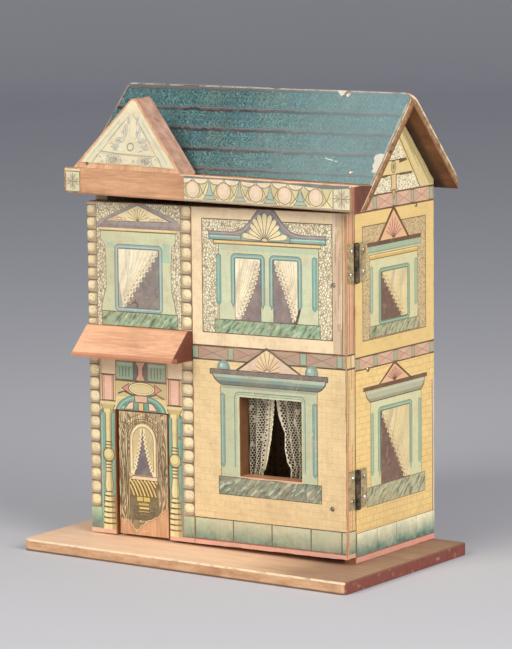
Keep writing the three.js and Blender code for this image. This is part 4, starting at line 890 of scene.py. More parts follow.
front.rect(5.5, 200.6, 79, 203.8, (190, 206, 170))
groove(front, 2.6, 165.4, 5.8, 198.0)
groove(front, 75.6, 165.0, 79.0, 199.0)
for (x0, x1), right in (((13.9, 39.4), True), ((43.3, 67.4), False)):
    front.poly([(x0 - 0.4, 168.0), (x0 + 1.5, 164.0), (x0 + 3.3, 168.0)], TEALDK)
    front.poly([(x1 + 0.4, 168.0), (x1 - 1.5, 164.0), (x1 - 3.3, 168.0)], TEALDK)
    moulding(front, x0, 167.0, x1, 198.6, 2.6, 3.2, False, (78, 112, 108), (130, 170, 158), (172, 204, 188))
    front.poly([(x0 + 0.3, 167.4), (x0 + 1.5, 164.8), (x0 + 2.6, 167.4)], TEAL)
    front.poly([(x1 - 0.3, 167.4), (x1 - 1.5, 164.8), (x1 - 2.6, 167.4)], TEAL)
    front.line([(x0 + 2.8, 156.4), (x0 + 2.8, 168)], 0.4, LINE)
    front.line([(x1 - 2.8, 156.4), (x1 - 2.8, 168)], 0.4, LINE)
    if right:
        drawn_curtain(front, (x0 + 3.1, 156.6, x1 - 3.0, 195.8), (35.8, 194.6), (19.2, 157.2), True, 11, (132, 120, 122), -1.6, 13)
    else:
        drawn_curtain(front, (x0 + 3.0, 156.6, x1 - 3.1, 195.8), (47.2, 194.2), (62.6, 157.2), False, 12, (132, 120, 122), 0.9, 13)
front.rect(0.6, 147.4, 81.4, 156.6, LINEDK)
front.rect(1.1, 147.9, 80.9, 156.1, (154, 182, 146), MARBLE)
front.poly([(66.9, 166.0), (65.2, 165.6), (63.4, 160.2), (62.4, 156.2), (63.6, 156.4), (65.6, 160.8)], (30, 26, 26))
front.poly([(61.0, 157.6), (63.2, 158.4), (63.0, 156.2), (61.4, 155.8)], (110, 62, 46))
# worn right margin beside the hinges
front.rect(90.9, 100, 101, 229, (214, 186, 154))
for i in range(26):
    rx = 91.4 + 9.2 * ((i * 0.618) % 1.0)
    rz = 104 + 118 * ((i * 0.377) % 1.0)
    rl = 14 + 30 * ((i * 0.731) % 1.0)
    front.line([(rx, rz), (rx + 0.25, min(228, rz + rl))], 0.35 + 0.5 * ((i * 0.53) % 1.0), ((184, 158, 130), (232, 212, 184), (160, 150, 128), (212, 178, 150))[i % 4])
for xx, ww, cc in ((96.4, 0.5, (190, 160, 116)), (97.9, 0.6, (128, 100, 70)), (99.2, 0.7, (196, 152, 104))):
    front.line([(xx, 28), (xx + 0.3, 90), (xx - 0.2, 150), (xx + 0.1, 228)], ww, cc)
for cx, cz, rx, rz in ((94.2, 214.0, 1.6, 5.0), (96.0, 200.0, 1.0, 3.6), (92.6, 168.0, 0.8, 4.4), (95.4, 156.0, 1.4, 3.0)):
    front.poly([(cx + rx * math.cos(t) * (1 + 0.25 * math.sin(3 * t + cz)), cz + rz * math.sin(t) * (1 + 0.2 * math.cos(2 * t + cx))) for t in [i * math.pi / 7 for i in range(14)]], (196, 164, 124), DRAPE)
# ---- belt course
front.rect(-16.6, 129.4, 100.2, 139.4, LINEDK)
front.rect(-16.6, 130.5, 100.2, 138.4, (178, 156, 130))
for x0, x1 in ((-12.2, 10.5), (15.1, 38.2), (42.6, 65.5), (70.8, 93.3)):
    front.rect(x0, 130.5, x1, 138.4, (182, 158, 134))
    front.poly([(x0, 130.5), (x0, 138.4), ((x0 + x1) / 2, 134.4)], (182, 146, 128))
    front.poly([(x1, 130.5), (x1, 138.4), ((x0 + x1) / 2, 134.4)], (184, 152, 132))
    front.line([(x0, 130.5), (x1, 138.4)], 0.35, (140, 104, 78))
    front.line([(x0, 138.4), (x1, 130.5)], 0.35, (140, 104, 78))
for x0, x1 in ((-17.7, -12.2), (10.5, 15.1), (38.2, 42.6), (65.5, 70.8), (93.3, 97.7)):
    front.rect(x0, 130.5, x1, 138.4, LINE)
    front.rect(x0 + 0.5, 131.0, x1 - 0.5, 138.0, (158, 180, 152))
# ---- right bay, ground floor
front.rect(-16.4, 8, 101, 129.5, FIELD, BRICK)
front.poly([(14.2, 123.2), (40.5, 140.2), (70, 122.8)], LINEDK)
front.poly([(17.8, 123.9), (40.5, 138.6), (66.6, 123.4)], (234, 204, 176))
fan(front, 40.8, 124.2, 2.2, 13, 6, 174, 9, (242, 212, 164), (104, 66, 50), lambda t: 9.2 + 4.0 * math.sin(t) ** 2)
front.ell(40.8, 123.9, 2.6, 2.5, (104, 66, 50), PLAIN, 12, 0, 180)
front.ell(40.8, 123.9, 2.1, 2.0, (242, 204, 168), PLAIN, 12, 0, 180)
for cx, cz in ((7.2, 125.0), (74.5, 125.6)):
    front.ell(cx, cz, 5.0, 5.6, TEALDK, PLAIN, 18)
    front.ell(cx, cz + 0.1, 4.5, 5.1, (122, 152, 146), PLAIN, 18)
    front.ell(cx - 0.9, cz + 1.0, 2.6, 3.0, (152, 176, 164), PLAIN, 14)
    front.ell(cx - 1.6, cz + 2.0, 1.2, 1.3, (188, 214, 200), PLAIN, 10)
front.poly([(-3.6, 120.9), (-3.6, 124.6), (86.8, 124.6), (86.8, 120.9)], LINEDK)
front.poly([(-3.0, 121.5), (-3.0, 124.1), (86.2, 124.1), (86.2, 121.5)], (122, 112, 108), WASH)
cove = [(-2.0, 121.2), (-0.6, 118.4), (2.6, 115.6), (5.8, 114.2), (78.8, 114.2), (82.0, 115.6), (84.8, 118.4), (85.6, 121.2)]
front.poly(cove, LINEDK)
front.poly([(-1.3, 121.2), (0.2, 118.7), (3.0, 116.2), (6.1, 114.9), (78.5, 114.9), (81.6, 116.2), (84.1, 118.7), (84.9, 121.2)], (102, 118, 110))
front.poly([(-1.2, 121.2), (0.4, 118.9), (2.6, 117.2), (82.4, 117.2), (84.0, 118.9), (84.8, 121.2)], (132, 156, 144))
front.poly([(-1.2, 121.2), (-0.2, 119.4), (83.8, 119.4), (84.8, 121.2)], (178, 192, 170))
front.poly([(60, 119.0), (83.9, 119.0), (84.8, 121.2), (60, 121.2)], (186, 196, 168))
front.rect(4.4, 54.6, 78.8, 114.4, LINE)
front.rect(4.9, 54.6, 78.3, 114.3, GREYGREEN)
front.rect(5.4, 112.6, 77.8, 114.2, (160, 170, 146))
groove(front, 4.9, 61.5, 7.7, 109, (88, 112, 104), (132, 162, 148))
groove(front, 75.2, 60.0, 78.2, 107, (88, 112, 104), (132, 162, 148), -1)
moulding(front, 15.6, 62.0, 69.2, 110.4, 1.6, 3.4, False, (96, 112, 96), (158, 182, 158), (200, 210, 178))
front.rbox(16.9, 54.6, 67.9, 108.9, 2.4, GREYGREEN, PLAIN, (0, 1, 1, 0))
front.rbox(17.6, 54.6, 67.2, 108.4, 1.8, (206, 210, 174), PLAIN, (0, 1, 1, 0))
front.rect(2.6, 43.6, 81.6, 55.6, LINEDK)
front.rect(3.1, 44.1, 81.1, 55.1, (144, 148, 126), MARBLE)
front.poly([(18.6, 58.0), (18.6, 55.8), (30, 55.2), (47, 55.6), (58, 54.8), (67.4, 55.4), (67.4, 58.0)], (240, 190, 156), BARE)
# foundation
front.rect(-101, 8, 101, 27.6, LINEDK)
front.rect(-101, 8, 101, 12.8, SALMON)
front.line([(-16.5, 13.1), (101, 13.1)], 0.8, (150, 84, 70))
for x0, x1 in ((-16.0, 13.4), (13.9, 43.2), (43.8, 73.0), (73.6, 96.2), (96.8, 101)):
    front.rect(x0, 13.7, x1 - 0.3, 26.9, (206, 208, 172), BLOCK)

# ---- entrance bay
e = front
e.rect(-101, 27, -16.4, 129.5, (240, 216, 160))
quoins(e, -100.8, -91.6, [27.2 + 8.55 * i for i in range(13)], False, 3)
quoins(e, -26.2, -16.6, [27.2 + 8.6 * i for i in range(13)], False, 4)
for x0, x1 in ((-100.6, -90.2), (-25.8, -16.4)):
    e.rect(x0, 13.0, x1, 27.0, LINE)
    e.rect(x0 + 0.4, 13.4, x1 - 0.4, 26.6, (196, 212, 172), BLOCK)
e.rect(-101, 8, -90.2, 13.0, (236, 196, 164))
for cx, side in ((-85.2, -1), (-31.8, 1)):
    w0, w1 = cx - 6.4, cx + 6.2
    e.rect(w0, 12.6, w1, 128.4, (236, 212, 158))
    # capital blocks and the panelled pier above
    e.rect(w0, 115.4, w1, 128.4, (238, 214, 176))
    e.rect(w0, 115.4, w0 + 1.6, 128.4, (204, 176, 136))
    e.line([(w0, 115.2), (w1, 115.2)], 0.7, LINEDK)
    e.box(cx - 4.7, 98.2, cx + 4.5, 114.8, 0.6, LINEDK, (224, 160, 136))
    e.rect(cx - 3.3, 98.6, cx + 2.9, 114.4, (240, 192, 164))
    e.line([(cx - 2.9, 98.6), (cx - 2.9, 114.4)], 0.3, (160, 104, 80))
    e.line([(w0 + 0.3, 98.4), (w0 + 0.3, 115)], 0.5, (150, 118, 84))
    e.line([(w1 - 0.3, 98.4), (w1 - 0.3, 115)], 0.5, (150, 118, 84))
    e.line([(w0, 97.8), (w1, 97.8)], 0.8, LINEDK)
    e.rect(w0 + 0.2, 93.4, w1 - 0.2, 97.4, (228, 206, 150))
    e.poly([(cx - 5.8, 95.4), (cx + 5.6, 95.4), (cx + 3.4, 90.8), (cx - 3.6, 90.8)], (204, 180, 120))
    e.line([(cx - 5.8, 95.4), (cx - 3.6, 90.8), (cx + 3.4, 90.8), (cx + 5.6, 95.4)], 0.5, LINEDK)
    # blue-green grounds on both sides of the turned column
    e.poly([(w0, 12.6), (w1, 12.6), (w1, 90.6), (w1 - 0.8, 92.2), (w0 + 0.8, 92.2), (w0, 90.6)], TEALDK)
    e.rect(w0 + 0.5, 12.8, w1 - 0.5, 90.0, (124, 172, 150))
    e.rect(w0 + 0.5, 12.8, w0 + 1.5, 88.0, (164, 200, 176))
    e.rect(w1 - 1.9, 12.8, w1 - 0.9, 88.0, (98, 146, 130))
    lathe = [(3.6, 92.4), (3.6, 90.4), (2.1, 89.2), (1.9, 71.4), (2.6, 70.6), (1.9, 69.6), (2.7, 68.6), (2.0, 67.4), (2.6, 66.4),
             (4.0, 64.4), (4.4, 62.2), (4.0, 59.8), (2.3, 58.0), (2.6, 56.8), (1.8, 55.8), (2.6, 54.6), (1.8, 53.4), (2.6, 52.2), (1.8, 51.0), (2.3, 49.8),
             (2.5, 46.5), (3.2, 42.8), (3.2, 40.6), (2.0, 37.8), (3.6, 36.0), (4.0, 34.4), (3.5, 33.0), (4.3, 31.8), (3.7, 30.2), (4.5, 28.8),
             (4.0, 27.2), (4.7, 25.6), (4.2, 24.0), (4.9, 22.2), (4.5, 20.4), (5.1, 18.6), (4.7, 16.8), (5.3, 14.8), (5.3, 12.6)]
    e.poly([(cx - r - 0.45, z) for r, z in lathe] + [(cx + r + 0.45, z) for r, z in lathe[::-1]], LINEDK)
    e.poly([(cx - r, z) for r, z in lathe] + [(cx + r, z) for r, z in lathe[::-1]], (232, 214, 150))
    e.poly([(cx + r * 0.38, z) for r, z in lathe] + [(cx + r, z) for r, z in lathe[::-1]], (186, 166, 112))
    e.poly([(cx - r * 0.7, z) for r, z in lathe[4:]] + [(cx - r * 0.35, z) for r, z in lathe[:3:-1]], (250, 234, 178))
    for z, r in ((70.6, 2.4), (68.6, 2.5), (66.5, 2.4), (57.6, 2.4), (55.6, 2.2), (53.4, 2.2), (51.0, 2.2), (37.6, 2.4)):
        e.line([(cx - r, z), (cx + r, z)], 0.8, (96, 80, 50))
    for z, r in ((34.9, 3.8), (31.2, 4.1), (27.6, 4.4), (24.0, 4.6), (20.4, 4.8), (16.8, 5.0)):
        e.poly([(cx - r, z - 0.4), (cx - r * 0.4, z - 0.9), (cx + r, z - 0.5), (cx + r, z + 0.5), (cx, z + 0.15), (cx - r, z + 0.5)], (88, 74, 48))
    e.ell(cx, 62.1, 4.7, 4.6, LINEDK, PLAIN, 20)
    e.ell(cx, 62.2, 4.2, 4.1, (204, 184, 124), PLAIN, 20)
    e.ell(cx - 0.6, 62.9, 3.0, 2.9, (234, 216, 152), PLAIN, 16)
# lintel zone between the piers
e.rect(-79.0, 91.0, -38.0, 128.4, (206, 188, 136))
for x0, x1 in ((-78.8, -64.2), (-53.4, -38.2)):
    e.rect(x0, 112.3, x1, 124.6, LINEDK)
    e.rect(x0 + 0.5, 112.8, x1 - 0.5, 124.2, (150, 182, 152))
    e.rect(x0 + 1.4, 121.8, x1 - 1.4, 123.4, (186, 204, 170))
    for i in range(4):
        e.line([(x0 + 3.4 + i * 2.5, 114.8), (x0 + 3.6 + i * 2.5, 120.8)], 0.9, (92, 130, 112))
        e.line([(x0 + 4.2 + i * 2.5, 115.2), (x0 + 4.4 + i * 2.5, 120.4)], 0.4, (196, 206, 170))
e.rect(-79, 124.6, -38, 128.4, (176, 166, 128))
e.rect(-64.2, 112.3, -53.4, 124.8, (120, 104, 96))
e.poly([(-62.8, 112.5), (-54.8, 112.5), (-56.9, 116.4), (-56.9, 120.8), (-54.8, 124.6), (-62.8, 124.6), (-60.7, 120.8), (-60.7, 116.4)], LINEDK)
e.poly([(-62.2, 112.7), (-55.4, 112.7), (-57.3, 116.4), (-57.3, 120.8), (-55.2, 124.4), (-62.4, 124.4), (-60.3, 120.8), (-60.3, 116.4)], (228, 178, 148))
e.line([(-79, 111.8), (-38, 111.8)], 0.9, LINEDK)
e.rect(-79.0, 102.4, -38.0, 111.4, (212, 190, 136))
e.poly([(-74.2, 107.0), (-68.0, 103.4), (-68.0, 110.6)], LINEDK)
e.poly([(-73.2, 107.0), (-68.2, 104.2), (-68.2, 109.8)], (220, 150, 132))
e.poly([(-41.4, 107.2), (-47.8, 103.8), (-47.8, 110.8)], LINEDK)
e.poly([(-42.4, 107.2), (-47.4, 104.6), (-47.4, 110.0)], (220, 150, 132))
e.ell(-57.9, 107.1, 10.8, 4.6, LINEDK, PLAIN, 28)
e.ell(-57.9, 107.1, 10.2, 4.1, (240, 222, 168), PLAIN, 28)
e.ell(-57.9, 107.1, 9.2, 3.2, (176, 152, 108), PLAIN, 26)
e.ell(-57.9, 107.1, 8.8, 2.9, (226, 206, 152), PLAIN, 26)
e.poly([(-77, 102.6), (-72, 104.4), (-66, 102.2), (-60, 101.4), (-52, 102.0), (-46, 103.6), (-39.6, 100.6), (-39.6, 102.0), (-46, 104.6), (-52, 103.2), (-60, 102.8), (-66, 103.6), (-72, 105.4), (-77, 103.8)], (96, 78, 64))
e.rect(-79.0, 91.0, -38.0, 101.2, (240, 212, 146))
for f, c in ((1.0, TEALDK), (0.965, (112, 164, 146)), (0.90, (164, 200, 178)), (0.85, (112, 164, 146))):
    e.poly([(-58.6 + 20.6 * f * math.cos(math.radians(t)), 91.2 + 12.0 * f * math.sin(math.radians(t))) for t in range(180, -1, -12)], c)
e.poly([(-58.6 + 15.6 * math.cos(math.radians(t)), 92.0 + 8.0 * math.sin(math.radians(t))) for t in range(180, -1, -12)], TEALDK)
e.poly([(-58.6 + 15.0 * math.cos(math.radians(t)), 92.2 + 7.4 * math.sin(math.radians(t))) for t in range(180, -1, -12)], (96, 150, 134))
for m in (-1, 1):
    e.poly([(-58.6 + m * 13.8, 93.0), (-58.6 + m * 6.0, 93.2), (-58.6 + m * 5.6, 98.8), (-58.6 + m * 9.6, 98.0)], LINEDK)
    e.poly([(-58.6 + m * 12.8, 93.4), (-58.6 + m * 6.6, 93.6), (-58.6 + m * 6.3, 98.1), (-58.6 + m * 9.3, 97.4)], (242, 204, 168))
e.rect(-61.0, 92.6, -56.2, 98.2, LINEDK)
e.rect(-60.4, 93.0, -56.8, 97.8, (222, 196, 130))
e.poly([(-63.6, 98.0), (-53.4, 98.0), (-52.8, 102.8), (-64.2, 102.8)], LINEDK)
e.poly([(-63.0, 98.5), (-54.0, 98.5), (-53.4, 102.4), (-63.6, 102.4)], (228, 180, 150))

# ------------------------------------------------------------------ facade papers
PF, PT = -33.5 - 0.05, 0.4


def facade(u, v, w):
    return (u, PF - PT * (1 - w), v + DROOP * u)


def box_pts(x0, z0, x1, z1):
    return [(x0, z0), (x1, z0), (x1, z1), (x0, z1)]


sheet("paper_gable_bay", ragged(box_pts(-99.8, 147.3, -17.0, 227.2), 0.5, 2.2, 1), [], front, facade, PT, M_FRONT, FIELD, "front", ["front_paper_gable_bay"])
sheet("paper_entrance", ragged([(-99.8, 9.84), (-80.1, 9.84), (-80.1, 92.5), (-36.5, 92.5), (-36.5, 9.84), (-17.0, 9.84), (-17.0, 128.2), (-99.8, 128.2)], 0.4, 2.2, 2), [], front, facade, PT, M_FRONT, FIELD, "front", ["front_paper_entrance"])
sheet("paper_twin_window", ragged(box_pts(-16.7, 138.6, 99.9, 227.2), 0.5, 2.2, 3), [], front, facade, PT, M_FRONT, FIELD, "front", ["front_paper_twin_window"])
sheet("paper_parlour", ragged(box_pts(-16.7, 9.84, 99.9, 138.4), 0.45, 2.2, 4), [ragged(box_pts(19.1, 56.4, 66.7, 107.5), -0.3, 2.0, 9)], front, facade, PT, M_FRONT, FIELD, "front", ["front_paper_parlour"])

# ---- papered edge of the front, at the hinges
edge = Art()
edge.rect(-34, 8, -22, 228, (240, 204, 140), BRICK)
for y, c, w in ((-32.4, (128, 92, 60), 0.7), (-30.4, (220, 176, 128), 0.9), (-28.2, (170, 126, 84), 0.5), (-25.6, (224, 182, 126), 0.8), (-24.0, (112, 78, 50), 0.8)):
    edge.line([(y, 8), (y + 0.2, 90), (y - 0.15, 150), (y, 228)], w, c)
edge.rect(-34, 8, -22, 12.4, SALMON)
edge.rect(-34, 12.8, -22, 27, (212, 212, 168), BLOCK)
edge.line([(-34, 27.2), (-22, 27.2)], 0.7, LINEDK)
edge.rect(-34, 129.4, -22, 139.2, LINEDK).rect(-34, 130.5, -29.0, 138.2, (230, 196, 140)).rect(-28.4, 130.5, -22, 138.2, (236, 212, 160))
edge.poly([(-33.6, 139.6), (-24.6, 139.6), (-24.4, 227.4), (-33.6, 227.4)], (216, 166, 130), BARE)
for y, c, w in ((-32.8, (184, 130, 100), 0.8), (-31.4, (230, 186, 148), 0.9), (-30.2, (150, 104, 78), 0.5), (-29.0, (232, 180, 138), 1.3), (-27.2, (222, 160, 122), 1.0), (-25.9, (146, 98, 70), 0.7), (-25.0, (218, 176, 130), 0.6)):
    edge.line([(y, 139.6), (y + 0.25, 165), (y - 0.15, 190), (y + 0.1, 227.4)], w, c)
edge.poly([(-29.6, 80), (-25.8, 86), (-26.0, 108), (-28.4, 118), (-30.2, 100)], (240, 210, 150))
edge.poly([(-33.5, 12), (-31.5, 14), (-31.9, 40), (-31.4, 66), (-32.2, 88), (-33.5, 92)], (226, 150, 112), BARE)
sheet("paper_edge", ragged(box_pts(-33.4, 9.94, -24.5, 227.2), 0.4, 2.0, 5), [], edge, lambda u, v, w: (100.05 + 0.4 * (1 - w), u, v + DROOP * 100.2), 0.4, M_SIDE, FIELD, "front", ["panel_edge_paper"])

# ---- door
door = Art()
GR1, GR2, GR3 = (216, 195, 152), (98, 78, 50), (236, 212, 154)
door.rect(-78, 10, -38, 92, GR1, OAK)
rnd = random.Random(21)
for off in (13.1, 14.7, 16.2, 17.7):
    up = [(-57.8 - off + 0.6 * math.sin(z / 5.0 + off), z) for z in range(24, 73, 4)]
    over = [(-57.8 + off * math.cos(math.radians(q)), 73 + (off - 0.3) * math.sin(math.radians(q))) for q in range(170, 9, -16)]
    down = [(-57.8 + off + 0.6 * math.sin(z / 5.0 - off), z) for z in range(70, 33, -4)]
    door.line(up + over + down, 0.5, GR2)
for ox, oz, orx, orz in ((-73.6, 46, 2.6, 17.0), (-73.7, 45, 1.5, 11.0), (-42.0, 58, 2.4, 13.0), (-42.1, 57, 1.3, 8.0)):
    door.line([(ox + orx * math.cos(math.radians(q)), oz + orz * math.sin(math.radians(q))) for q in range(0, 361, 20)], 0.5, GR2)
door.line([(-70.0, 11), (-70.2, 50), (-69.6, 84)], 0.6, GR2)
door.line([(-45.8, 11), (-45.6, 50), (-46.0, 86)], 0.6, GR2)
door.line([(-77, 84.6), (-70, 83.6)], 0.5, GR2)
door.poly([(-70.4, 84), (-58, 89.5), (-46, 84.6), (-46, 86), (-58, 91), (-70.4, 85.4)], GR3, OAK)
for f, c in ((1.12, GR2), (1.06, (232, 198, 150)), (0.98, (250, 234, 186)), (0.86, LINEDK)):
    door.poly([(-57.8 - 9.9 * f, 47.8 if f < 1.1 else 47.2), (-57.8 - 9.9 * f, 73)] + [(-57.8 + 9.9 * f * math.cos(math.radians(t)), 73 + 11.0 * f * math.sin(math.radians(t))) for t in range(180, -1, -15)] + [(-57.8 + 9.9 * f, 47.8 if f < 1.1 else 47.2)], c)
door.poly([(-65.9, 50.0), (-65.9, 73)] + [(-57.8 + 8.1 * math.cos(math.radians(t)), 73 + 9.1 * math.sin(math.radians(t))) for t in range(180, -1, -15)] + [(-49.7, 50.0)], (224, 198, 140), DRAPE)
wl = [(-65.4, 50.2), (-63.9, 54.4), (-62.8, 59), (-61.4, 64), (-60.2, 69), (-59.2, 75), (-58.4, 81.2)]
wr = [(-58.0, 81.2), (-57.2, 75), (-56.2, 69), (-54.8, 64), (-53.2, 59), (-51.8, 54.4), (-50.2, 50.2)]
door.poly([(p[0] - 1.7, p[1]) for p in wl] + [(p[0] + 1.7, p[1]) for p in wr], (246, 228, 180))
door.poly(wl + wr, (112, 104, 108), WASH)
for row, m in ((wl, -1), (wr, 1)):
    for (ax, az), (bx, bz) in zip(row, row[1:]):
        for t in (0.15, 0.65):
            qx, qz = ax + (bx - ax) * t, az + (bz - az) * t
            if qz > 79 or abs(qx + m * 1.3 + 57.8) > 7.8:
                continue
            door.ell(qx - m * 0.1, qz, 0.75, 0.8, (246, 228, 180), PLAIN, 8)
            door.ell(qx + m * 1.1, qz, 0.42, 0.5, (110, 92, 66), PLAIN, 8)
door.rect(-69.2, 47.0, -46.4, 49.9, LINEDK)
door.rect(-68.8, 47.5, -46.8, 49.5, (248, 214, 172))
door.rect(-69.0, 36.6, -46.4, 47.0, (128, 102, 62))
for i in range(10):
    x = -71.6 + i * 2.9
    pts = [(x + 6.2 * t, 46.9 - 9.9 * t ** 1.5) for t in (0, 0.25, 0.5, 0.75, 1.0)]
    pts = [q for q in pts if -68.8 < q[0] < -46.8]
    if len(pts) > 1:
        door.line(pts, 1.15, (238, 212, 132) if i % 2 else (226, 192, 112))
        door.line([(q[0] + 1.35, q[1]) for q in pts if q[0] + 1.35 < -46.6], 0.55, (76, 58, 36))
door.rect(-69.2, 20.6, -46.2, 36.6, (96, 82, 52))
door.rect(-68.6, 21.2, -46.8, 36.0, (126, 112, 72), WASH)
door.poly([(-66, 20.8), (-49, 20.8), (-47.4, 30), (-68.2, 30)], (108, 94, 62), WASH)
for z0, z1, x0, x1, c in ((33.0, 36.4, -63.6, -52.4, (222, 194, 96)), (30.3, 32.4, -62.4, -53.4, (206, 176, 92)), (27.9, 29.8, -61.8, -53.2, (240, 214, 128)), (26.0, 27.2, -62.6, -52.8, (214, 186, 108)), (24.2, 25.2, -61.4, -54.2, (190, 164, 96))):
    door.rect(x0, z0, x1, z1, (84, 68, 42)).rect(x0 + 0.35, z0 + 0.35, x1 - 0.35, z1 - 0.3, c)
door.line([(-58.2, 33.2), (-58.2, 36.2)], 0.6, (84, 68, 42))
door.rect(-69.2, 14, -46.2, 20.6, GR1, OAK)
for i in range(5):
    r = 9.5 - i * 1.7
    door.line([(-59.5 + r * math.cos(math.radians(t)), 20.4 + r * 0.62 * math.sin(math.radians(t))) for t in range(180, 361, 22)], 0.55, GR2)
TORN = [(-77.1, 20.4), (-73.4, 18.9), (-70.6, 19.8), (-67.4, 17.0), (-65.2, 14.0), (-63.6, 12.4), (-61.8, 14.6), (-59.4, 16.4), (-57.2, 17.8), (-54.6, 20.4), (-51.6, 20.9), (-48.8, 22.8), (-46.0, 23.4), (-43.8, 26.2), (-41.4, 27.6), (-38.5, 30.2)]
door.line([(p[0], p[1] + 0.45) for p in TORN], 0.6, (224, 190, 146))
door_outline = ragged([TORN[-1], (-38.5, 91.5), (-77.1, 91.5), TORN[0]], 0.25, 2.0, 6)[:-1]
sheet("paper_door", door_outline + TORN[:-1], [], door, lambda u, v, w: (u, -33.0 - 0.05 - 0.4 * (1 - w), v + DROOP * u), 0.4, M_FRONT, GR1, "door", ["door_paper"])

# ------------------------------------------------------------------ side walls
side = Art()
side.rect(-30, 5, 70, 300, YELLOW, BRICK)
side.rect(-30, 136.6, 70, 230, (240, 206, 134))
# gable
side.rect(-30, 228, 70, 300, (238, 206, 130))
side.rect(-30, 236.8, 70, 248.6, GRAIN, DOTS)
side.poly([(-12, 237), (20.5, 276), (20.5, 300), (-40, 300), (-40, 237)], (238, 204, 126))
side.poly([(16, 257.6), (27, 257.6), (35, 257.6), (20.8, 280)], GRAIN, DOTS)
side.poly([(6.6, 257.0), (35.6, 257.0), (42.2, 248.6), (-0.4, 248.6)], (236, 212, 150))
side.line([(6, 257.2), (36, 257.2)], 0.7, LINEDK)
side.poly([(27.6, 255.0), (37.0, 256.2), (35.4, 257.8), (27.6, 257.8)], (98, 74, 40))
side.poly([(14.4, 255.0), (5.0, 256.2), (6.6, 257.8), (14.4, 257.8)], (98, 74, 40))
side.ell(21, 253.1, 3.0, 3.9, LINE, PLAIN, 18)
side.ell(21, 253.1, 2.4, 3.3, (214, 194, 138), PLAIN, 18)
side.ell(21, 253.1, 1.3, 2.1, (150, 130, 88), PLAIN, 12)
side.line([(-1.0, 248.2), (14, 248.2), (28, 248.2), (42.6, 248.2)], 0.8, (98, 74, 40))
side.rect(28, 247.2, 42, 248.8, (110, 84, 46))
side.rect(0, 247.2, 14, 248.8, (110, 84, 46))
side.poly([(17.6, 248.2), (24.8, 248.2), (24.2, 244), (24.6, 240.4), (25.6, 238.4), (16.6, 238.4), (17.8, 240.4), (18.2, 244)], LINE)
side.poly([(18.4, 248.2), (24.0, 248.2), (23.4, 244), (23.8, 240.4), (24.6, 239), (17.6, 239), (18.6, 240.4), (19.0, 244)], (232, 198, 142))
# bargeboards
for m in (1, -1):
    def q(y, z):
        return (y, z) if m == 1 else (41.4 - y, z)
    side.poly([q(20.7, 281.6), q(52.4, 236.8), q(68, 236.8), q(68, 243), q(20.7, 300)], (228, 208, 150))
    side.poly([q(20.7, 290), q(64, 238.6), q(68, 238.6), q(68, 244), q(20.7, 301)], (214, 194, 136))
    side.line([q(20.7, 281.2), q(52.6, 236.8)], 0.8, LINE)
    side.line([q(20.7, 289.6), q(63.6, 238.6)], 0.7, (170, 146, 90))
    side.poly([q(24.6, 284.4), q(28.4, 280.4), q(46, 258.6), q(44.6, 257.4), q(27, 278.4)], (202, 184, 128))
    side.line([q(30, 276.5), q(37, 268.4), q(44, 258.6), q(50, 250.6)], 0.8, (190, 174, 122))
    side.line([q(36, 262.5), q(44, 251.6), q(49, 244.6)], 0.5, (206, 178, 116))
# upper belt
side.rect(-30, 227.5, 70, 237.8, (112, 74, 52))
side.rect(-30, 228.6, 70, 236.8, (218, 182, 148))
side.rect(-30, 129.1, 70, 138.0, (112, 74, 52))
side.rect(-30, 130.0, 70, 137.0, (220, 184, 150))
squares = [(-22.6, -19.2), (-3.2, 1.4), (20.0, 24.6), (41.0, 44.6), (62.6, 67.2)]
for lo, hi in ((228.6, 236.8), (130.0, 137.0)):
    for (a0, a1), (b0, b1) in zip(squares, squares[1:]):
        x0, x1 = a1, b0
        side.poly([(x0, lo), (x0, hi), ((x0 + x1) / 2, (lo + hi) / 2)], (216, 170, 146))
        side.poly([(x1, lo), (x1, hi), ((x0 + x1) / 2, (lo + hi) / 2)], (218, 174, 150))
        side.poly([(x0, hi), (x1, hi), ((x0 + x1) / 2, (lo + hi) / 2)], (224, 186, 156))
        side.line([(x0, lo), (x1, hi)], 0.3, (164, 112, 92))
        side.line([(x0, hi), (x1, lo)], 0.3, (164, 112, 92))
    for x0, x1 in squares:
        side.rect(x0, lo, x1, hi, LINE).rect(x0 + 0.4, lo + 0.3, x1 - 0.4, hi - 0.3, (172, 180, 144))
side.poly([(18.6, 238.4), (23.6, 238.4), (22.6, 235.4), (21.2, 232.2), (19.8, 235.4)], (150, 112, 72))
side.poly([(19.6, 238.2), (22.6, 238.2), (21.8, 235.8), (21.1, 234.0), (20.4, 235.8)], (214, 178, 130))
# upper window
side.rect(-15.4, 147.0, 58.4, 219.2, LINE)
side.rect(-14.8, 147.6, 57.8, 218.6, (218, 190, 142), DOTS)
side.poly([(1.6, 207.2), (20.8, 229.6), (40.0, 206.8)], (110, 70, 46))
side.poly([(5.0, 208.2), (20.8, 226.4), (36.6, 208.0)], (234, 192, 138))
for i in range(9):
    t0 = math.radians(12 + 156 * (i + 0.5) / 9)
    reach = min(15.6, 0.92 / (abs(math.cos(t0)) / 15.4 + math.sin(t0) / 17.6))
    w = 0.15
    side.poly([(20.8 + 1.4 * math.cos(t0), 208.8 + 1.4 * math.sin(t0))] + [(20.8 + reach * q * math.cos(t0 + d), 208.8 + reach * q * math.sin(t0 + d)) for d, q in ((-w, 0.66), (-w * 0.9, 0.86), (0, 1.0), (w * 0.9, 0.86), (w, 0.66))], (236, 180, 148))
    t1 = math.radians(12 + 156 * i / 9)
    r1 = min(13.6, 0.84 / (abs(math.cos(t1)) / 15.4 + math.sin(t1) / 17.6))
    if i:
        side.line([(20.8 + 1.6 * math.cos(t1), 208.8 + 1.6 * math.sin(t1)), (20.8 + r1 * math.cos(t1), 208.8 + r1 * math.sin(t1))], 0.5, (116, 60, 42))
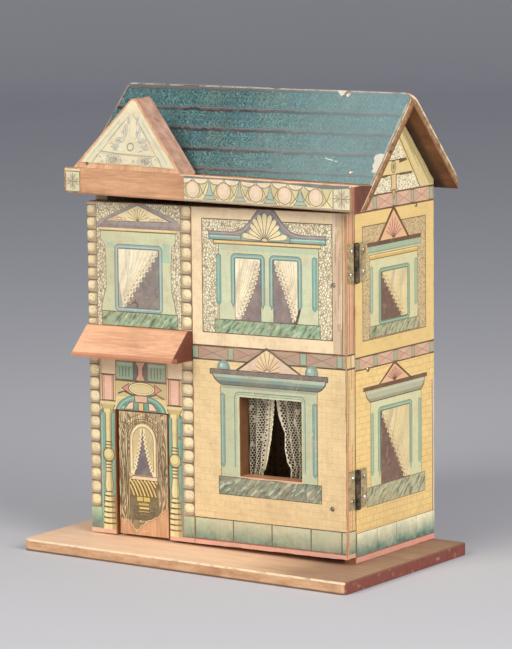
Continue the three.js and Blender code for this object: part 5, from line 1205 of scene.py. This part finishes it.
side.ell(20.8, 208.6, 1.7, 1.5, (120, 66, 48), PLAIN, 10, 0, 180)
side.poly([(-9.6, 205.4), (-9.6, 208.2), (52.6, 208.2), (52.6, 205.4)], (104, 66, 46))
side.rect(-9.0, 205.7, 52.0, 207.9, (106, 76, 56))
side.rect(-8.6, 201.4, 51.6, 205.5, (168, 188, 156))
side.rect(-8.6, 201.4, 51.6, 202.3, (146, 164, 134))
side.rect(-8.8, 200.6, 51.8, 201.4, (226, 210, 160))
side.rect(-7.4, 197.2, 49.0, 200.5, (134, 102, 56))
side.rect(-6.9, 197.7, 48.5, 200.1, (222, 186, 106))
side.rect(-6.9, 199.2, 48.5, 200.1, (240, 212, 146))
side.rect(-6.8, 155.6, 48.6, 197.0, (222, 216, 168))
side.line([(-6.8, 155.6), (-6.8, 197)], 0.4, LINE)
side.line([(48.6, 155.6), (48.6, 197)], 0.4, LINE)
groove(side, -6.2, 163.0, -3.6, 193.0, (136, 150, 116), (164, 188, 156))
groove(side, 45.2, 163.0, 47.8, 193.0, (136, 150, 116), (164, 188, 156), -1)
moulding(side, 3.6, 155.4, 38.8, 190.6, 2.1, 2.6, True, (108, 128, 100), (136, 168, 144), (172, 196, 162))
drawn_curtain(side, (6.2, 158.0, 36.4, 188.2), (8.0, 187.2), (31.4, 158.4), False, 31, (118, 84, 68), 0.0, 10, (240, 217, 158))
side.rect(-7.6, 147.8, 50.6, 155.4, LINE)
side.rect(-7.2, 148.2, 50.2, 155.0, (188, 186, 142), MARBLE)
# lower window
side.poly([(1.0, 116.6), (21.2, 130.6), (42.6, 116.4)], (110, 70, 46))
side.poly([(4.6, 117.6), (21.2, 128.6), (38.8, 117.4)], (236, 194, 144))
for i in range(11):
    t0 = math.radians(10 + 160 * (i + 0.5) / 11)
    reach = 0.93 / (abs(math.cos(t0)) / 16.6 + math.sin(t0) / 10.6)
    w = 0.125
    side.poly([(21.2 + 1.2 * math.cos(t0), 118.1 + 1.2 * math.sin(t0))] + [(21.2 + reach * q * math.cos(t0 + d), 118.1 + reach * q * math.sin(t0 + d)) for d, q in ((-w, 0.66), (-w * 0.9, 0.86), (0, 1.0), (w * 0.9, 0.86), (w, 0.66))], (236, 180, 150))
    t1 = math.radians(10 + 160 * i / 11)
    r1 = 0.84 / (abs(math.cos(t1)) / 16.6 + math.sin(t1) / 10.6)
    if i:
        side.line([(21.2 + 1.4 * math.cos(t1), 118.1 + 1.4 * math.sin(t1)), (21.2 + r1 * math.cos(t1), 118.1 + r1 * math.sin(t1))], 0.45, (118, 58, 42))
side.ell(21.2, 118.0, 1.7, 1.4, (120, 60, 48), PLAIN, 10, 0, 180)
side.rect(-15.0, 115.2, 59.2, 117.8, (88, 58, 42))
side.rect(-14.4, 115.6, 58.6, 117.4, (112, 80, 60))
side.poly([(-13.0, 114.8), (-11.2, 110.6), (-7.4, 107.4), (52.0, 107.4), (55.6, 110.4), (57.2, 115.2)], (92, 64, 46))
side.poly([(-12.2, 114.6), (-10.6, 111.0), (-7.0, 108.0), (51.6, 108.0), (55.0, 110.8), (56.4, 115.2)], (160, 160, 130))
side.poly([(-12.0, 114.6), (-10.8, 111.8), (-8.0, 109.8), (52.4, 109.8), (54.8, 111.6), (56.2, 115.2)], (190, 190, 158))
side.poly([(-12.2, 114.6), (-11.8, 113.2), (56.0, 113.2), (56.4, 114.6)], (202, 208, 176))
side.rect(-7.0, 53.6, 52.6, 107.4, LINE)
side.rect(-6.6, 53.6, 52.2, 107.4, (222, 220, 172))
groove(side, -6.2, 60.5, -3.5, 100.5, (136, 152, 116), (162, 188, 156))
groove(side, 49.1, 60.5, 51.7, 102.5, (136, 152, 116), (162, 188, 156), -1)
side.poly([(1.6, 64), (3.2, 58.0), (5.0, 64)], (92, 122, 92))
side.poly([(38.4, 64), (40.0, 58.0), (41.6, 64)], (92, 122, 92))
moulding(side, 2.0, 62.4, 41.2, 102.8, 2.2, 2.8, False, (108, 132, 100), (146, 178, 152), (184, 204, 168))
side.poly([(2.2, 63), (3.2, 59.0), (4.4, 63)], (148, 188, 150))
side.poly([(38.8, 63), (40.0, 59.0), (41.0, 63)], (148, 188, 150))
drawn_curtain(side, (4.9, 53.8, 38.4, 100.2), (6.8, 99.0), (33.4, 54.4), False, 33, (118, 86, 72), 0.0, 13, (240, 217, 158))
for yy, zz in ((12.4, 74.0), (11.6, 70.4), (12.8, 65.6)):
    side.line([(yy, zz), (yy + 0.4, zz + 2.8)], 0.6, (172, 150, 128))
side.rect(-11.6, 41.2, 56.8, 53.8, LINE)
side.rect(-11.2, 41.6, 56.4, 53.4, (196, 188, 146), MARBLE)
side.rect(66.0, 27, 70, 112, (226, 208, 176))
side.line([(65.5, 27), (65.7, 60), (65.4, 112)], 0.7, (128, 86, 52))
# foundation
side.rect(-30, 5, 70, 26.8, LINE)
side.rect(-30, 5, 70, 11.4, (236, 168, 150))
side.line([(-30, 11.6), (70, 11.6)], 0.6, (150, 96, 80))
for x0, x1 in ((-23, -0.2), (0.2, 22.5), (22.9, 45.6), (46.0, 65.8), (66.2, 69)):
    side.rect(x0, 12.0, x1, 26.4, (255, 248, 208), BLOCK)

PITCH = math.radians(47.8)
TP, SP, CP = math.tan(PITCH), math.sin(PITCH), math.cos(PITCH)


def under(y, t):
    return 300 - TP * abs(y - 22.0) - t / CP - 0.3


side_outline = [(-23.8, 7.7), (67.8, 7.7), (67.8, under(67.8, 5.2) - 0.2), (23.5, under(23.5, 5.2) - 0.2), (22.0, under(22.0, 5.6) - 0.2), (-23.8, under(-23.8, 5.6) - 0.2)]
sheet("paper_side_right", ragged(side_outline, 0.35, 2.2, 7), [], side, lambda u, v, w: (100.05 + 0.4 * (1 - w), u, v), 0.4, M_SIDE, FIELD, "carcass", ["side_paper_right"])
sheet("paper_side_left", ragged(side_outline, 0.35, 2.2, 8), [], side, lambda u, v, w: (-100.05 - 0.4 * (1 - w), u, v), 0.4, M_SIDE, FIELD, "carcass", ["side_paper_left"])

# ------------------------------------------------------------------ cornice papers
fas = Art()
fas.rect(-110, 231, 116, 249, (232, 220, 170))
fas.rect(-110, 232.0, 116, 233.6, (176, 168, 140))


def star(a, x0, z0, x1, z1):
    a.rect(x0, z0, x1, z1, LINE)
    a.rect(x0 + 0.6, z0 + 0.6, x1 - 0.6, z1 - 0.6, (224, 216, 180))
    cx, cz, r = (x0 + x1) / 2, (z0 + z1) / 2, min(x1 - x0, z1 - z0) / 2 - 0.7
    for i in range(8):
        t = math.radians(45 * i + 22.5)
        for d, c in ((0.24, (120, 104, 84)), (0.13, (208, 198, 166))):
            a.poly([(cx, cz), (cx + r * 0.62 * math.cos(t - d), cz + r * 0.62 * math.sin(t - d)), (cx + r * 1.08 * math.cos(t), cz + r * 1.08 * math.sin(t)), (cx + r * 0.62 * math.cos(t + d), cz + r * 0.62 * math.sin(t + d))], c)
    a.line([(cx - r, cz), (cx + r, cz)], 0.4, LINE)
    a.line([(cx, cz - r), (cx, cz + r)], 0.4, LINE)


for cx in (-5.9, 18.0, 42.4, 64.2, 87.3):
    # yellow and pale wedges that swing down to the next spire
    for m in (-1, 1):
        fas.poly([(cx + m * 3.4, 245.5), (cx + m * 11.0, 245.5), (cx + m * 9.4, 240), (cx + m * 6.4, 234.4), (cx + m * 3.8, 234.4)], (212, 200, 150))
        fas.line([(cx + m * 4.4, 245), (cx + m * 7.4, 238.4), (cx + m * 12.0, 234.0)], 0.45, LINE)
        fas.line([(cx + m * 11.6, 245), (cx + m * 8.6, 238.4), (cx + m * 3.6, 234.0)], 0.45, LINE)
for cx in (7.2, 30.2, 53.3, 75.8):
    fas.poly([(cx - 0.5, 246.6), (cx + 0.5, 246.6), (cx + 1.2, 241.6), (cx + 3.0, 236.6), (cx + 5.4, 233.8), (cx - 5.4, 233.8), (cx - 3.0, 236.6), (cx - 1.2, 241.6)], LINE)
    fas.poly([(cx - 0.2, 246.2), (cx + 0.2, 246.2), (cx + 0.8, 241.4), (cx + 2.5, 236.8), (cx + 4.4, 234.2), (cx - 4.4, 234.2), (cx - 2.5, 236.8), (cx - 0.8, 241.4)], (170, 186, 170))
    fas.line([(cx - 2.6, 236.4), (cx + 2.6, 236.4)], 0.4, LINE)
for i in range(9):
    cx = -11.6 + 12.0 * i
    fas.ell(cx, 247.4, 6.0, 4.3, LINE, PLAIN, 16, 180, 360)
    fas.ell(cx, 247.4, 5.5, 3.8, (236, 216, 182), PLAIN, 16, 180, 360)
for cx in (-5.9, 18.0, 42.4, 64.2, 87.3):
    fas.ell(cx, 239.6, 5.6, 5.7, LINE, PLAIN, 24)
    fas.ell(cx, 239.6, 5.1, 5.2, (228, 202, 172), PLAIN, 24)
    fas.ell(cx - 0.6, 240.6, 3.2, 3.0, (236, 212, 182), PLAIN, 18)
star(fas, 99.8, 232.6, 112.9, 247.0)
star(fas, -106.9, 232.8, -95.0, 246.4)
fas.poly([(-14, 246.4), (20, 246.9), (40, 246.1), (60, 247.0), (76, 246.2), (92, 245.2), (104, 245.6), (112, 246.6), (112, 249), (-14, 249)], (110, 120, 116))


def cornice(u, v, w):
    return (u, -46.5 - 0.05 - 0.4 * (1 - w), v)


sheet("paper_cornice_left", ragged([(-104.6, 232.3), (-94.9, 232.3), (-94.9, 248.0), (-107.1, 248.0), (-107.1, 235.9), (-106.5, 233.8)], 0.55, 1.6, 14), [], fas, cornice, 0.4, M_FRONT, CREAM, "carcass", ["fascia_paper_left"])
sheet("paper_cornice_right", ragged(box_pts(-12.7, 232.2, 113.0, 248.0), 0.7, 2.4, 15), [], fas, cornice, 0.4, M_FRONT, CREAM, "carcass", ["fascia_paper_right"])

# ------------------------------------------------------------------ triangular ornament
ped = Art()
PX = -58.0
ped.rect(-110, 240, 0, 300, (224, 214, 180))
PG, PGR = (190, 196, 172), (158, 166, 150)
for m in (-1, 1):
    ped.poly([(PX + m * 4, 287.5), (PX + m * 1.5, 283.5), (PX + m * 29.5, 250.6), (PX + m * 34.5, 250.6)], (218, 210, 176))
    ped.line([(PX + m * 1.2, 284.0), (PX + m * 30.0, 249.6)], 0.5, (168, 160, 124))
    ped.line([(PX + m * 9, 279.5), (PX + m * 31.5, 254.5)], 1.0, PG)
    ped.line([(PX + m * 6.5, 278.4), (PX + m * 17.0, 266.4)], 0.45, PGR)
    ped.poly([(PX + m * 3.0, 272.5), (PX + m * 5.8, 276.5), (PX + m * 7.6, 271.5), (PX + m * 5.4, 267.6), (PX + m * 3.6, 269.2)], (224, 216, 182), DRAPE)
    ped.poly([(PX + m * 4.0, 266.8), (PX + m * 10.6, 266.4), (PX + m * 14.2, 262.6), (PX + m * 6.0, 263.8)], (214, 210, 184), DRAPE)
    ped.poly([(PX + m * 5.4, 250.2), (PX + m * 8.2, 257.0), (PX + m * 13.8, 257.6), (PX + m * 18.6, 254.6), (PX + m * 16.0, 250.0)], (220, 212, 182), DRAPE)
    ped.ell(PX + m * 11.0, 253.8, 2.4, 2.2, (190, 186, 164), PLAIN, 12)
    ped.ell(PX + m * 11.0, 253.8, 1.4, 1.2, (226, 216, 180), PLAIN, 10)
    ped.line([(PX + m * 24, 258.0), (PX + m * 27.4, 252.6)], 0.9, (164, 178, 150))
    for cx, cz, rx, rz in ((5.2, 272.8, 1.6, 4.2), (8.8, 267.0, 3.4, 1.5), (12.2, 262.6, 2.6, 1.2), (3.4, 279.4, 0.8, 2.6)):
        ped.ell(PX + 1.6 + m * cx, cz + 0.6, rx + 0.3, rz + 0.3, (150, 152, 142), PLAIN, 12)
        ped.ell(PX + 1.6 + m * cx, cz + 0.6, rx, rz, (206, 202, 184), DRAPE, 12)
        ped.line([(PX + 1.6 + m * (cx - rx * 0.5), cz - rz * 0.5), (PX + 1.6 + m * (cx + rx * 0.4), cz + rz * 0.9)], 0.4, (142, 146, 140))
    for i in range(14):
        t = math.radians(360 * i / 14)
        ped.ell(PX + 1.6 + m * 12.4 + 4.8 * math.cos(t), 254.9 + 3.0 * math.sin(t), 1.25, 1.15, (150, 150, 138), PLAIN, 8)
        ped.ell(PX + 1.6 + m * 12.4 + 4.8 * math.cos(t), 254.9 + 3.0 * math.sin(t), 0.85, 0.75, (222, 214, 186), PLAIN, 8)
    ped.ell(PX + 1.6 + m * 12.4, 254.9, 3.4, 1.9, (168, 166, 150), STIPPLE, 14)
    for dx, dz, w, h in ((4.6, 271.6, 2.2, 1.6), (7.0, 266.6, 3.0, 1.0), (12.6, 264.8, 2.6, 1.0), (8.4, 260.6, 3.4, 0.9), (14.8, 256.6, 2.4, 1.4), (18.6, 252.8, 2.0, 1.2), (4.0, 253.2, 1.8, 2.2), (21.2, 256.0, 1.6, 1.0)):
        ped.line([(PX + m * dx, dz), (PX + m * (dx + w * 0.5), dz + h), (PX + m * (dx + w), dz + h * 0.2)], 0.5, (150, 154, 142))
ped.line([(PX - 22, 260.0), (PX - 8, 259.0), (PX + 8, 258.6), (PX + 21.5, 258.4)], 0.8, (172, 164, 138))
ped.line([(PX - 21, 258.8), (PX + 20, 257.4)], 0.35, (186, 178, 146))
ped.ell(PX + 1.5, 263.6, 2.9, 2.8, (140, 138, 124), PLAIN, 18)
ped.ell(PX + 1.5, 263.6, 2.0, 1.9, (218, 210, 178), PLAIN, 16)
ped.line([(PX, 282), (PX, 266)], 0.4, (206, 198, 160))
ped.line([(-102, 252.3), (-54, 252.5), (-14, 251.4)], 0.5, (204, 178, 134))
X0, X1, Z0, Z1 = -100.6, -15.4, 248.7, 293.9
ped_out = [(X0 + 5.0, Z0 + 3.2), (PX + 4, Z0 + 3.3), (X1 - 3.6, Z0 + 2.3), (PX + 4.8, Z1 - 5.4), (PX + 3.0, Z1 - 3.1), (PX + 1.44, Z1 - 1.7), (PX, Z1 - 1.2), (PX - 1.44, Z1 - 1.7), (PX - 3.0, Z1 - 3.1), (PX - 4.8, Z1 - 5.4)]
sheet("paper_pediment", ragged(ped_out, 0.45, 2.0, 16), [], ped, lambda u, v, w: (u, -46.5 - 0.05 - 0.4 * (1 - w) + 0.194 * (v - Z0), v), 0.4, M_FRONT, (224, 214, 180), "carcass", ["pediment_paper"])

# ------------------------------------------------------------------ roof papers
rf = Art()
rf.poly([(108.2, 49.4), (111.0, 48.0), (114.9, 48.2), (114.9, 62.4), (112.8, 62.8), (110.6, 62.0), (110.9, 59.6), (109.2, 57.4), (109.6, 54.4), (107.8, 51.6)], (208, 200, 184), BARE)
rf.poly([(58.6, 0.7), (60.6, 3.2), (63.4, 5.4), (65.2, 4.4), (66.6, 2.8), (69.0, 0.7)], (216, 208, 192), BARE)
rf.poly([(72.6, 53.4), (75.6, 54.2), (79.4, 54.9), (79.2, 55.5), (75.4, 54.9), (72.8, 54.0)], (206, 214, 206), BARE)
rf.poly([(80.2, 55.4), (83.2, 55.7), (82.8, 56.2), (80.4, 56.0)], (196, 206, 200), BARE)


def slope(sign):
    def place(u, v, w):
        # v is the distance down the slope
        lift = 0.05 + 0.4 * (1 - w)
        return (u, 22.0 - sign * (v * CP + SP * lift), 300 - v * SP + CP * lift)
    return place


def slope_outline(smax, seed):
    x0, x1, r, n = -108.7, 114.7, 7.0, 5
    pts = [(x0, smax), (x0, 0.5 + r)] + [(x0 + r - r * math.cos(math.radians(90 * i / n)), 0.5 + r - r * math.sin(math.radians(90 * i / n))) for i in range(1, n + 1)]
    # the left-hand ends are out of square and the ridge falls that way
    pts = [(u + 4.2 * (1 - v / 92.06), v) for u, v in pts]
    pts += [(x1 - r + r * math.sin(math.radians(90 * i / n)), 0.5 + r - r * math.cos(math.radians(90 * i / n))) for i in range(0, n)] + [(x1, 0.5 + r), (x1, smax)]
    pts = [(u, max(v, 0.15 + 0.01188 * (115 - u))) for u, v in pts]
    return ragged(pts, 0.5, 2.6, seed)


sheet("paper_roof_front", slope_outline((300 - 246.4) / SP - 0.5, 17), [], rf, slope(1), 0.4, M_SLATE, (110, 150, 146), "carcass", ["roof_paper_front"], SLATE)
sheet("paper_roof_rear", slope_outline((73.86 - 22.0 - 3.6) / CP - 0.4, 18), [], Art(), slope(-1), 0.4, M_SLATE, (110, 150, 146), "carcass", ["roof_paper_rear"], SLATE)


# ------------------------------------------------------------------ wallpapers inside
def wallpaper(name, ground, motif):
    k = Mat(name)
    x, y, z = k.xyz()
    d = k.mth("ADD", x, y)
    px = k.mth("FRACT", k.mth("MULTIPLY", d, 1000 / 9.0))
    stripe = k.band(px, 0.42, 0.58, 0.03)
    thin = k.mth("MAXIMUM", k.band(px, 0.30, 0.32, 0.015), k.band(px, 0.68, 0.70, 0.015))
    dots = k.vor(220, k.comb(d, z, 0.0), rand=0.15)
    c = k.mix(k.mth("MULTIPLY", stripe, 0.5), ground, motif)
    c = k.mix(k.mth("MULTIPLY", thin, 0.45), c, scaled(motif, 0.8))
    c = k.mix(k.mth("MULTIPLY", k.ramp(dots, [(0.16, 0.8), (0.24, 0.0)]), k.mth("SUBTRACT", 1.0, stripe)), c, motif)
    c = k.mix(k.ramp(k.noise(30, 4, 0.6), [(0.4, 0.0), (0.7, 0.5)]), c, k.mix(0.5, c, lin((120, 88, 56))))
    c = k.mix(k.ramp(k.noise(900, 3), [(0.35, 0.25), (0.6, 0.0)]), c, scaled(ground, 0.7))
    k.bump(k.noise(700, 4), 0.2, 0.0002)
    return k.done(c, k.ramp(k.noise(60, 3), [(0.3, 0.6), (0.7, 0.8)]))


for node, mat in (("wallpaper_lower", wallpaper("wallpaper_parlour", lin((196, 176, 138)), lin((140, 100, 78)))),
                  ("wallpaper_upper", wallpaper("wallpaper_bedroom", lin((202, 190, 160)), lin((120, 140, 140))))):
    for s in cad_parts[node].material_slots:
        s.material = mat


# ------------------------------------------------------------------ lace curtains
def lace_material():
    k = Mat("cotton_lace", Sheen_Weight=0.5, Sheen_Roughness=0.4)
    x, y, z = k.xyz()
    thread = k.noise(2600, 3, 0.6)
    w1 = k.node("ShaderNodeTexWave", {"Vector": k.comb(x, z, 0.0), "Scale": 900.0, "Distortion": 1.5}, wave_type="BANDS", bands_direction="DIAGONAL").outputs["Fac"]
    c = k.ramp(thread, [(0.3, lin((228, 214, 178))), (0.6, lin((252, 242, 214)))])
    c = k.mix(k.mth("MULTIPLY", w1, 0.15), c, lin((214, 200, 168)))
    c = k.mix(k.ramp(k.noise(60, 3), [(0.5, 0.0), (0.75, 0.3)]), c, lin((216, 198, 160)))
    t = k.node("ShaderNodeAttribute", attribute_name="Along").outputs["Fac"]
    # painted shade: the lace is made darker where it lies deeper in its folds, further back
    deep = k.node("ShaderNodeMapRange", {"Value": y, "From Min": -0.0234, "From Max": -0.0196}).outputs[0]
    c = k.mix(k.mth("MULTIPLY", deep, 0.55), c, lin((136, 120, 94)))
    # painted shade: darker towards the outer selvage beside the jamb
    c = k.mix(k.ramp(t, [(0.1, 0.0), (0.35, 0.16), (0.75, 0.42), (1.0, 0.55)]), c, lin((128, 116, 92)))
    c = k.mix(k.ramp(t, [(0.0, 0.9), (0.06, 0.8), (0.13, 0.0)]), c, lin((255, 244, 208)))
    k.bump(k.mth("ADD", thread, w1), 0.35, 0.0002)
    return k.done(c, 0.85)


M_LACE = lace_material()


def net_pattern(W, L, seed):
    """The cut cloth in millimetres: a runs from the lace edge (0) to the outer selvage (W), b down. Returns outline and holes."""
    rnd = random.Random(seed)
    out = []
    n = int(L / 3.1)
    for i in range(n):
        for t in range(6):
            b = (i + t / 6) * L / n
            out.append((0.95 - 0.95 * math.sin(math.pi * t / 6), b))
    out += [(0.95, L), (W, L), (W, 0)]
    holes = []

    def ngon(cx, cy, rx, ry, m=6, ph=0.0):
        holes.append([(cx + rx * math.cos(ph + 2 * math.pi * i / m), cy + ry * math.sin(ph + 2 * math.pi * i / m)) for i in range(m)])

    for i in range(n):  # the border: a pair of eyelets in each scallop, then a leaf and two slots
        c = (i + 0.5) * L / n
        for d in (-0.62, 0.62):
            ngon(1.35, c + d, 0.30, 0.40, 6)
        for d in (-0.9, 0.0, 0.9):
            ngon(2.75, c + d, 0.42, 0.26, 6)
    # sprigs worked solid
    sprigs = []
    k = 0
    b = 5.0
    while b < L:
        sprigs.append((9.0 + (8.4 if k % 2 else 0.0), b, 1.9, 2.5))
        sprigs.append((21.0 + (3.0 if k % 2 else 0.0), b + 5.4, 1.3, 1.8))
        b += 12.0
        k += 1
    pa, pb = 1.84, 1.60
    j = 0
    b = 1.4
    while b < L - 1.15:
        a0 = 4.6 + (pa / 2 if j % 2 else 0)
        while a0 < W - 1.15:
            q = (a0 + rnd.uniform(-0.03, 0.03), b + rnd.uniform(-0.03, 0.03))
            inner = min(((q[0] - x) / rx) ** 2 + ((q[1] - y) / ry) ** 2 for x, y, rx, ry in sprigs)
            if inner > 1.0:
                ngon(q[0], q[1], 0.80, 0.77, 6, 0.52)
            elif inner < 0.10:
                ngon(q[0], q[1], 0.34, 0.34, 6)
            a0 += pa
        b += pb
        j += 1
    return out, holes


def gather(width, cloth, folds):
    """The depth of the folds that take up a cloth of the given width."""
    if width >= cloth:
        return 0.0
    lo, hi = 0.0, 12.0
    for _ in range(30):
        m = (lo + hi) / 2
        arc = sum(math.hypot(width, m * 2 * math.pi * folds * math.cos(2 * math.pi * folds * (i + 0.5) / 48)) for i in range(48)) / 48
        lo, hi = (m, hi) if arc < cloth else (lo, m)
    return lo


def lace_curtain(name, node, lace_edge_at, outer_at, W, folds, seed, deep):
    """A scrap of cotton lace, gathered on its strip and swept to the jamb. The holes are cut through the cloth."""
    L, zt = 57.5, 109.2
    outline, holes = net_pattern(W, L, seed)
    polys = [ccw(outline)] + [ccw(h) for h in holes]
    verts, faces = [], []
    for p in polys:
        faces.append(list(range(len(verts), len(verts) + len(p))))
        verts += [Vector(q) for q in p]
    vo, _, fo, _, _, of = delaunay_2d_cdt(verts, [], faces, 1, 1e-5)

    def at(tab, b):
        z = zt - b
        for (z0, x0), (z1, x1) in zip(tab, tab[1:]):
            if z <= z0 and z >= z1:
                t = (z0 - z) / (z0 - z1)
                return x0 + (x1 - x0) * (0.5 * t + 0.5 * t * t * (3 - 2 * t))
        return tab[-1][1] if z < tab[-1][0] else tab[0][1]

    depth = [gather(abs(at(outer_at, i) - at(lace_edge_at, i)), W, folds) for i in range(int(L) + 2)]
    bm = bmesh.new()
    keep = [f for f, src in zip(fo, of) if 0 in src and len(src) == 1]
    used = sorted({i for f in keep for i in f})
    pos = {}
    along = bm.verts.layers.float.new("Along")
    for i in used:
        a, b = vo[i]
        t = a / W
        e, o = at(lace_edge_at, b), at(outer_at, b)
        d = depth[int(b)] + (depth[int(b) + 1] - depth[int(b)]) * (b - int(b))
        ph = 2 * math.pi * folds * t + seed + 0.5 * math.sin(b / 13 + seed)
        x = e + (o - e) * t + 0.35 * math.sin(b / 5 + 9 * t + seed) * min(1, b / 10)
        y = deep + d * math.sin(ph) * 0.98 + 0.5 * math.sin(b / 9 + 5 * t)
        z = zt - b + 0.4 * math.sin(6 * t + b / 11) * min(1, b / 12)
        pos[i] = bm.verts.new((x * MM, min(max(y, -23.9), -14.9) * MM, (z + DROOP * x) * MM))
        pos[i][along] = t
    for f in keep:
        bm.faces.new([pos[i] for i in f])
    bmesh.ops.recalc_face_normals(bm, faces=bm.faces)
    me = bpy.data.meshes.new(name)
    bm.to_mesh(me)
    bm.free()
    me.materials.append(M_LACE)
    o = bpy.data.objects.new(name, me)
    bpy.context.collection.objects.link(o)
    s = o.modifiers.new("thread", "SOLIDIFY")
    s.thickness = 0.00022
    s.offset = 0
    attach(o, "front")
    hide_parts(node)
    cut = W * L - sum(abs(sum(a[0] * b[1] - b[0] * a[1] for a, b in zip(h, h[1:] + h[:1]))) / 2 for h in holes)
    return o


lace_curtain("lace_left", "curtain_left",
             [(109.2, 36.9), (102.0, 36.5), (90.0, 35.9), (80, 34.4), (74.0, 33.0), (66.0, 31.9), (61.0, 30.6), (57.5, 28.2), (51.0, 28.8)],
             [(109.2, 14.8), (90, 15.6), (75, 16.4), (64, 17.4), (56, 18.8), (51.0, 19.2)], 27.0, 3.2, 0.6, -21.6)
lace_curtain("lace_right", "curtain_right",
             [(109.2, 38.2), (103.0, 38.7), (94.0, 39.9), (89.0, 41.6), (84.0, 44.3), (76.0, 44.9), (67.0, 47.2), (62.0, 50.2), (57.0, 49.4), (51.0, 49.2)],
             [(109.2, 63.6), (90, 63.4), (75, 62.8), (62, 62.2), (51.0, 61.6)], 30.0, 3.6, 2.4, -21.6)


# ------------------------------------------------------------------ stage and light
def stage():
    me = bpy.data.meshes.new("floor")
    bm = bmesh.new()
    # floor that sweeps up behind into a backdrop
    prof = [(-4.5, 0.0), (3.4, 0.0)] + [(3.4 + 0.8 * math.sin(math.radians(t)), 0.8 - 0.8 * math.cos(math.radians(t))) for t in range(6, 91, 6)] + [(4.2, 4.0)]
    a = math.radians(35)
    rows = []
    for d, z in prof:
        row = []
        for w in (-6, 6):
            x = -math.sin(a) * d + math.cos(a) * w
            y = math.cos(a) * d + math.sin(a) * w
            row.append(bm.verts.new((x, y, z - 0.0002)))
        rows.append(row)
    for r, q in zip(rows, rows[1:]):
        bm.faces.new([r[0], r[1], q[1], q[0]])
    for f in bm.faces:
        f.smooth = True
    bm.to_mesh(me)
    bm.free()
    k = Mat("floor_paper")
    x, y, z = k.xyz()
    # one plain pale paper all over, hardly mottled
    c = k.mix(k.ramp(k.noise(3, 2, 0.4), [(0.3, 0.0), (0.7, 0.3)]), lin((200, 200, 204)), lin((193, 193, 198)))
    me.materials.append(k.done(c, 0.8))
    o = bpy.data.objects.new("floor", me)
    bpy.context.collection.objects.link(o)


stage()


def area(name, loc, target, size, power, color):
    l = bpy.data.lights.new(name, "AREA")
    l.shape = "DISK" if isinstance(size, float) else "RECTANGLE"
    if isinstance(size, float):
        l.size = size
    else:
        l.size, l.size_y = size
    l.energy = power
    l.color = color
    o = bpy.data.objects.new(name, l)
    bpy.context.collection.objects.link(o)
    o.location = loc
    o.rotation_euler = (Vector(target) - Vector(loc)).to_track_quat("-Z", "Y").to_euler()


area("key", (-0.35, -1.55, 1.35), (0, -0.05, 0.14), 1.1, 23.5, (1.0, 0.97, 0.93))
area("fill", (1.6, -0.4, 0.9), (0, 0, 0.13), 1.3, 25, (1.0, 0.97, 0.94))
area("low", (0.3, -1.8, 0.35), (0, -0.05, 0.13), 1.2, 6, (1.0, 0.98, 0.96))
world = bpy.data.worlds.new("studio")
bpy.context.scene.world = world
world.use_nodes = True
world.node_tree.nodes["Background"].inputs[0].default_value = (0.86, 0.9, 1.0, 1)
world.node_tree.nodes["Background"].inputs[1].default_value = 0.30
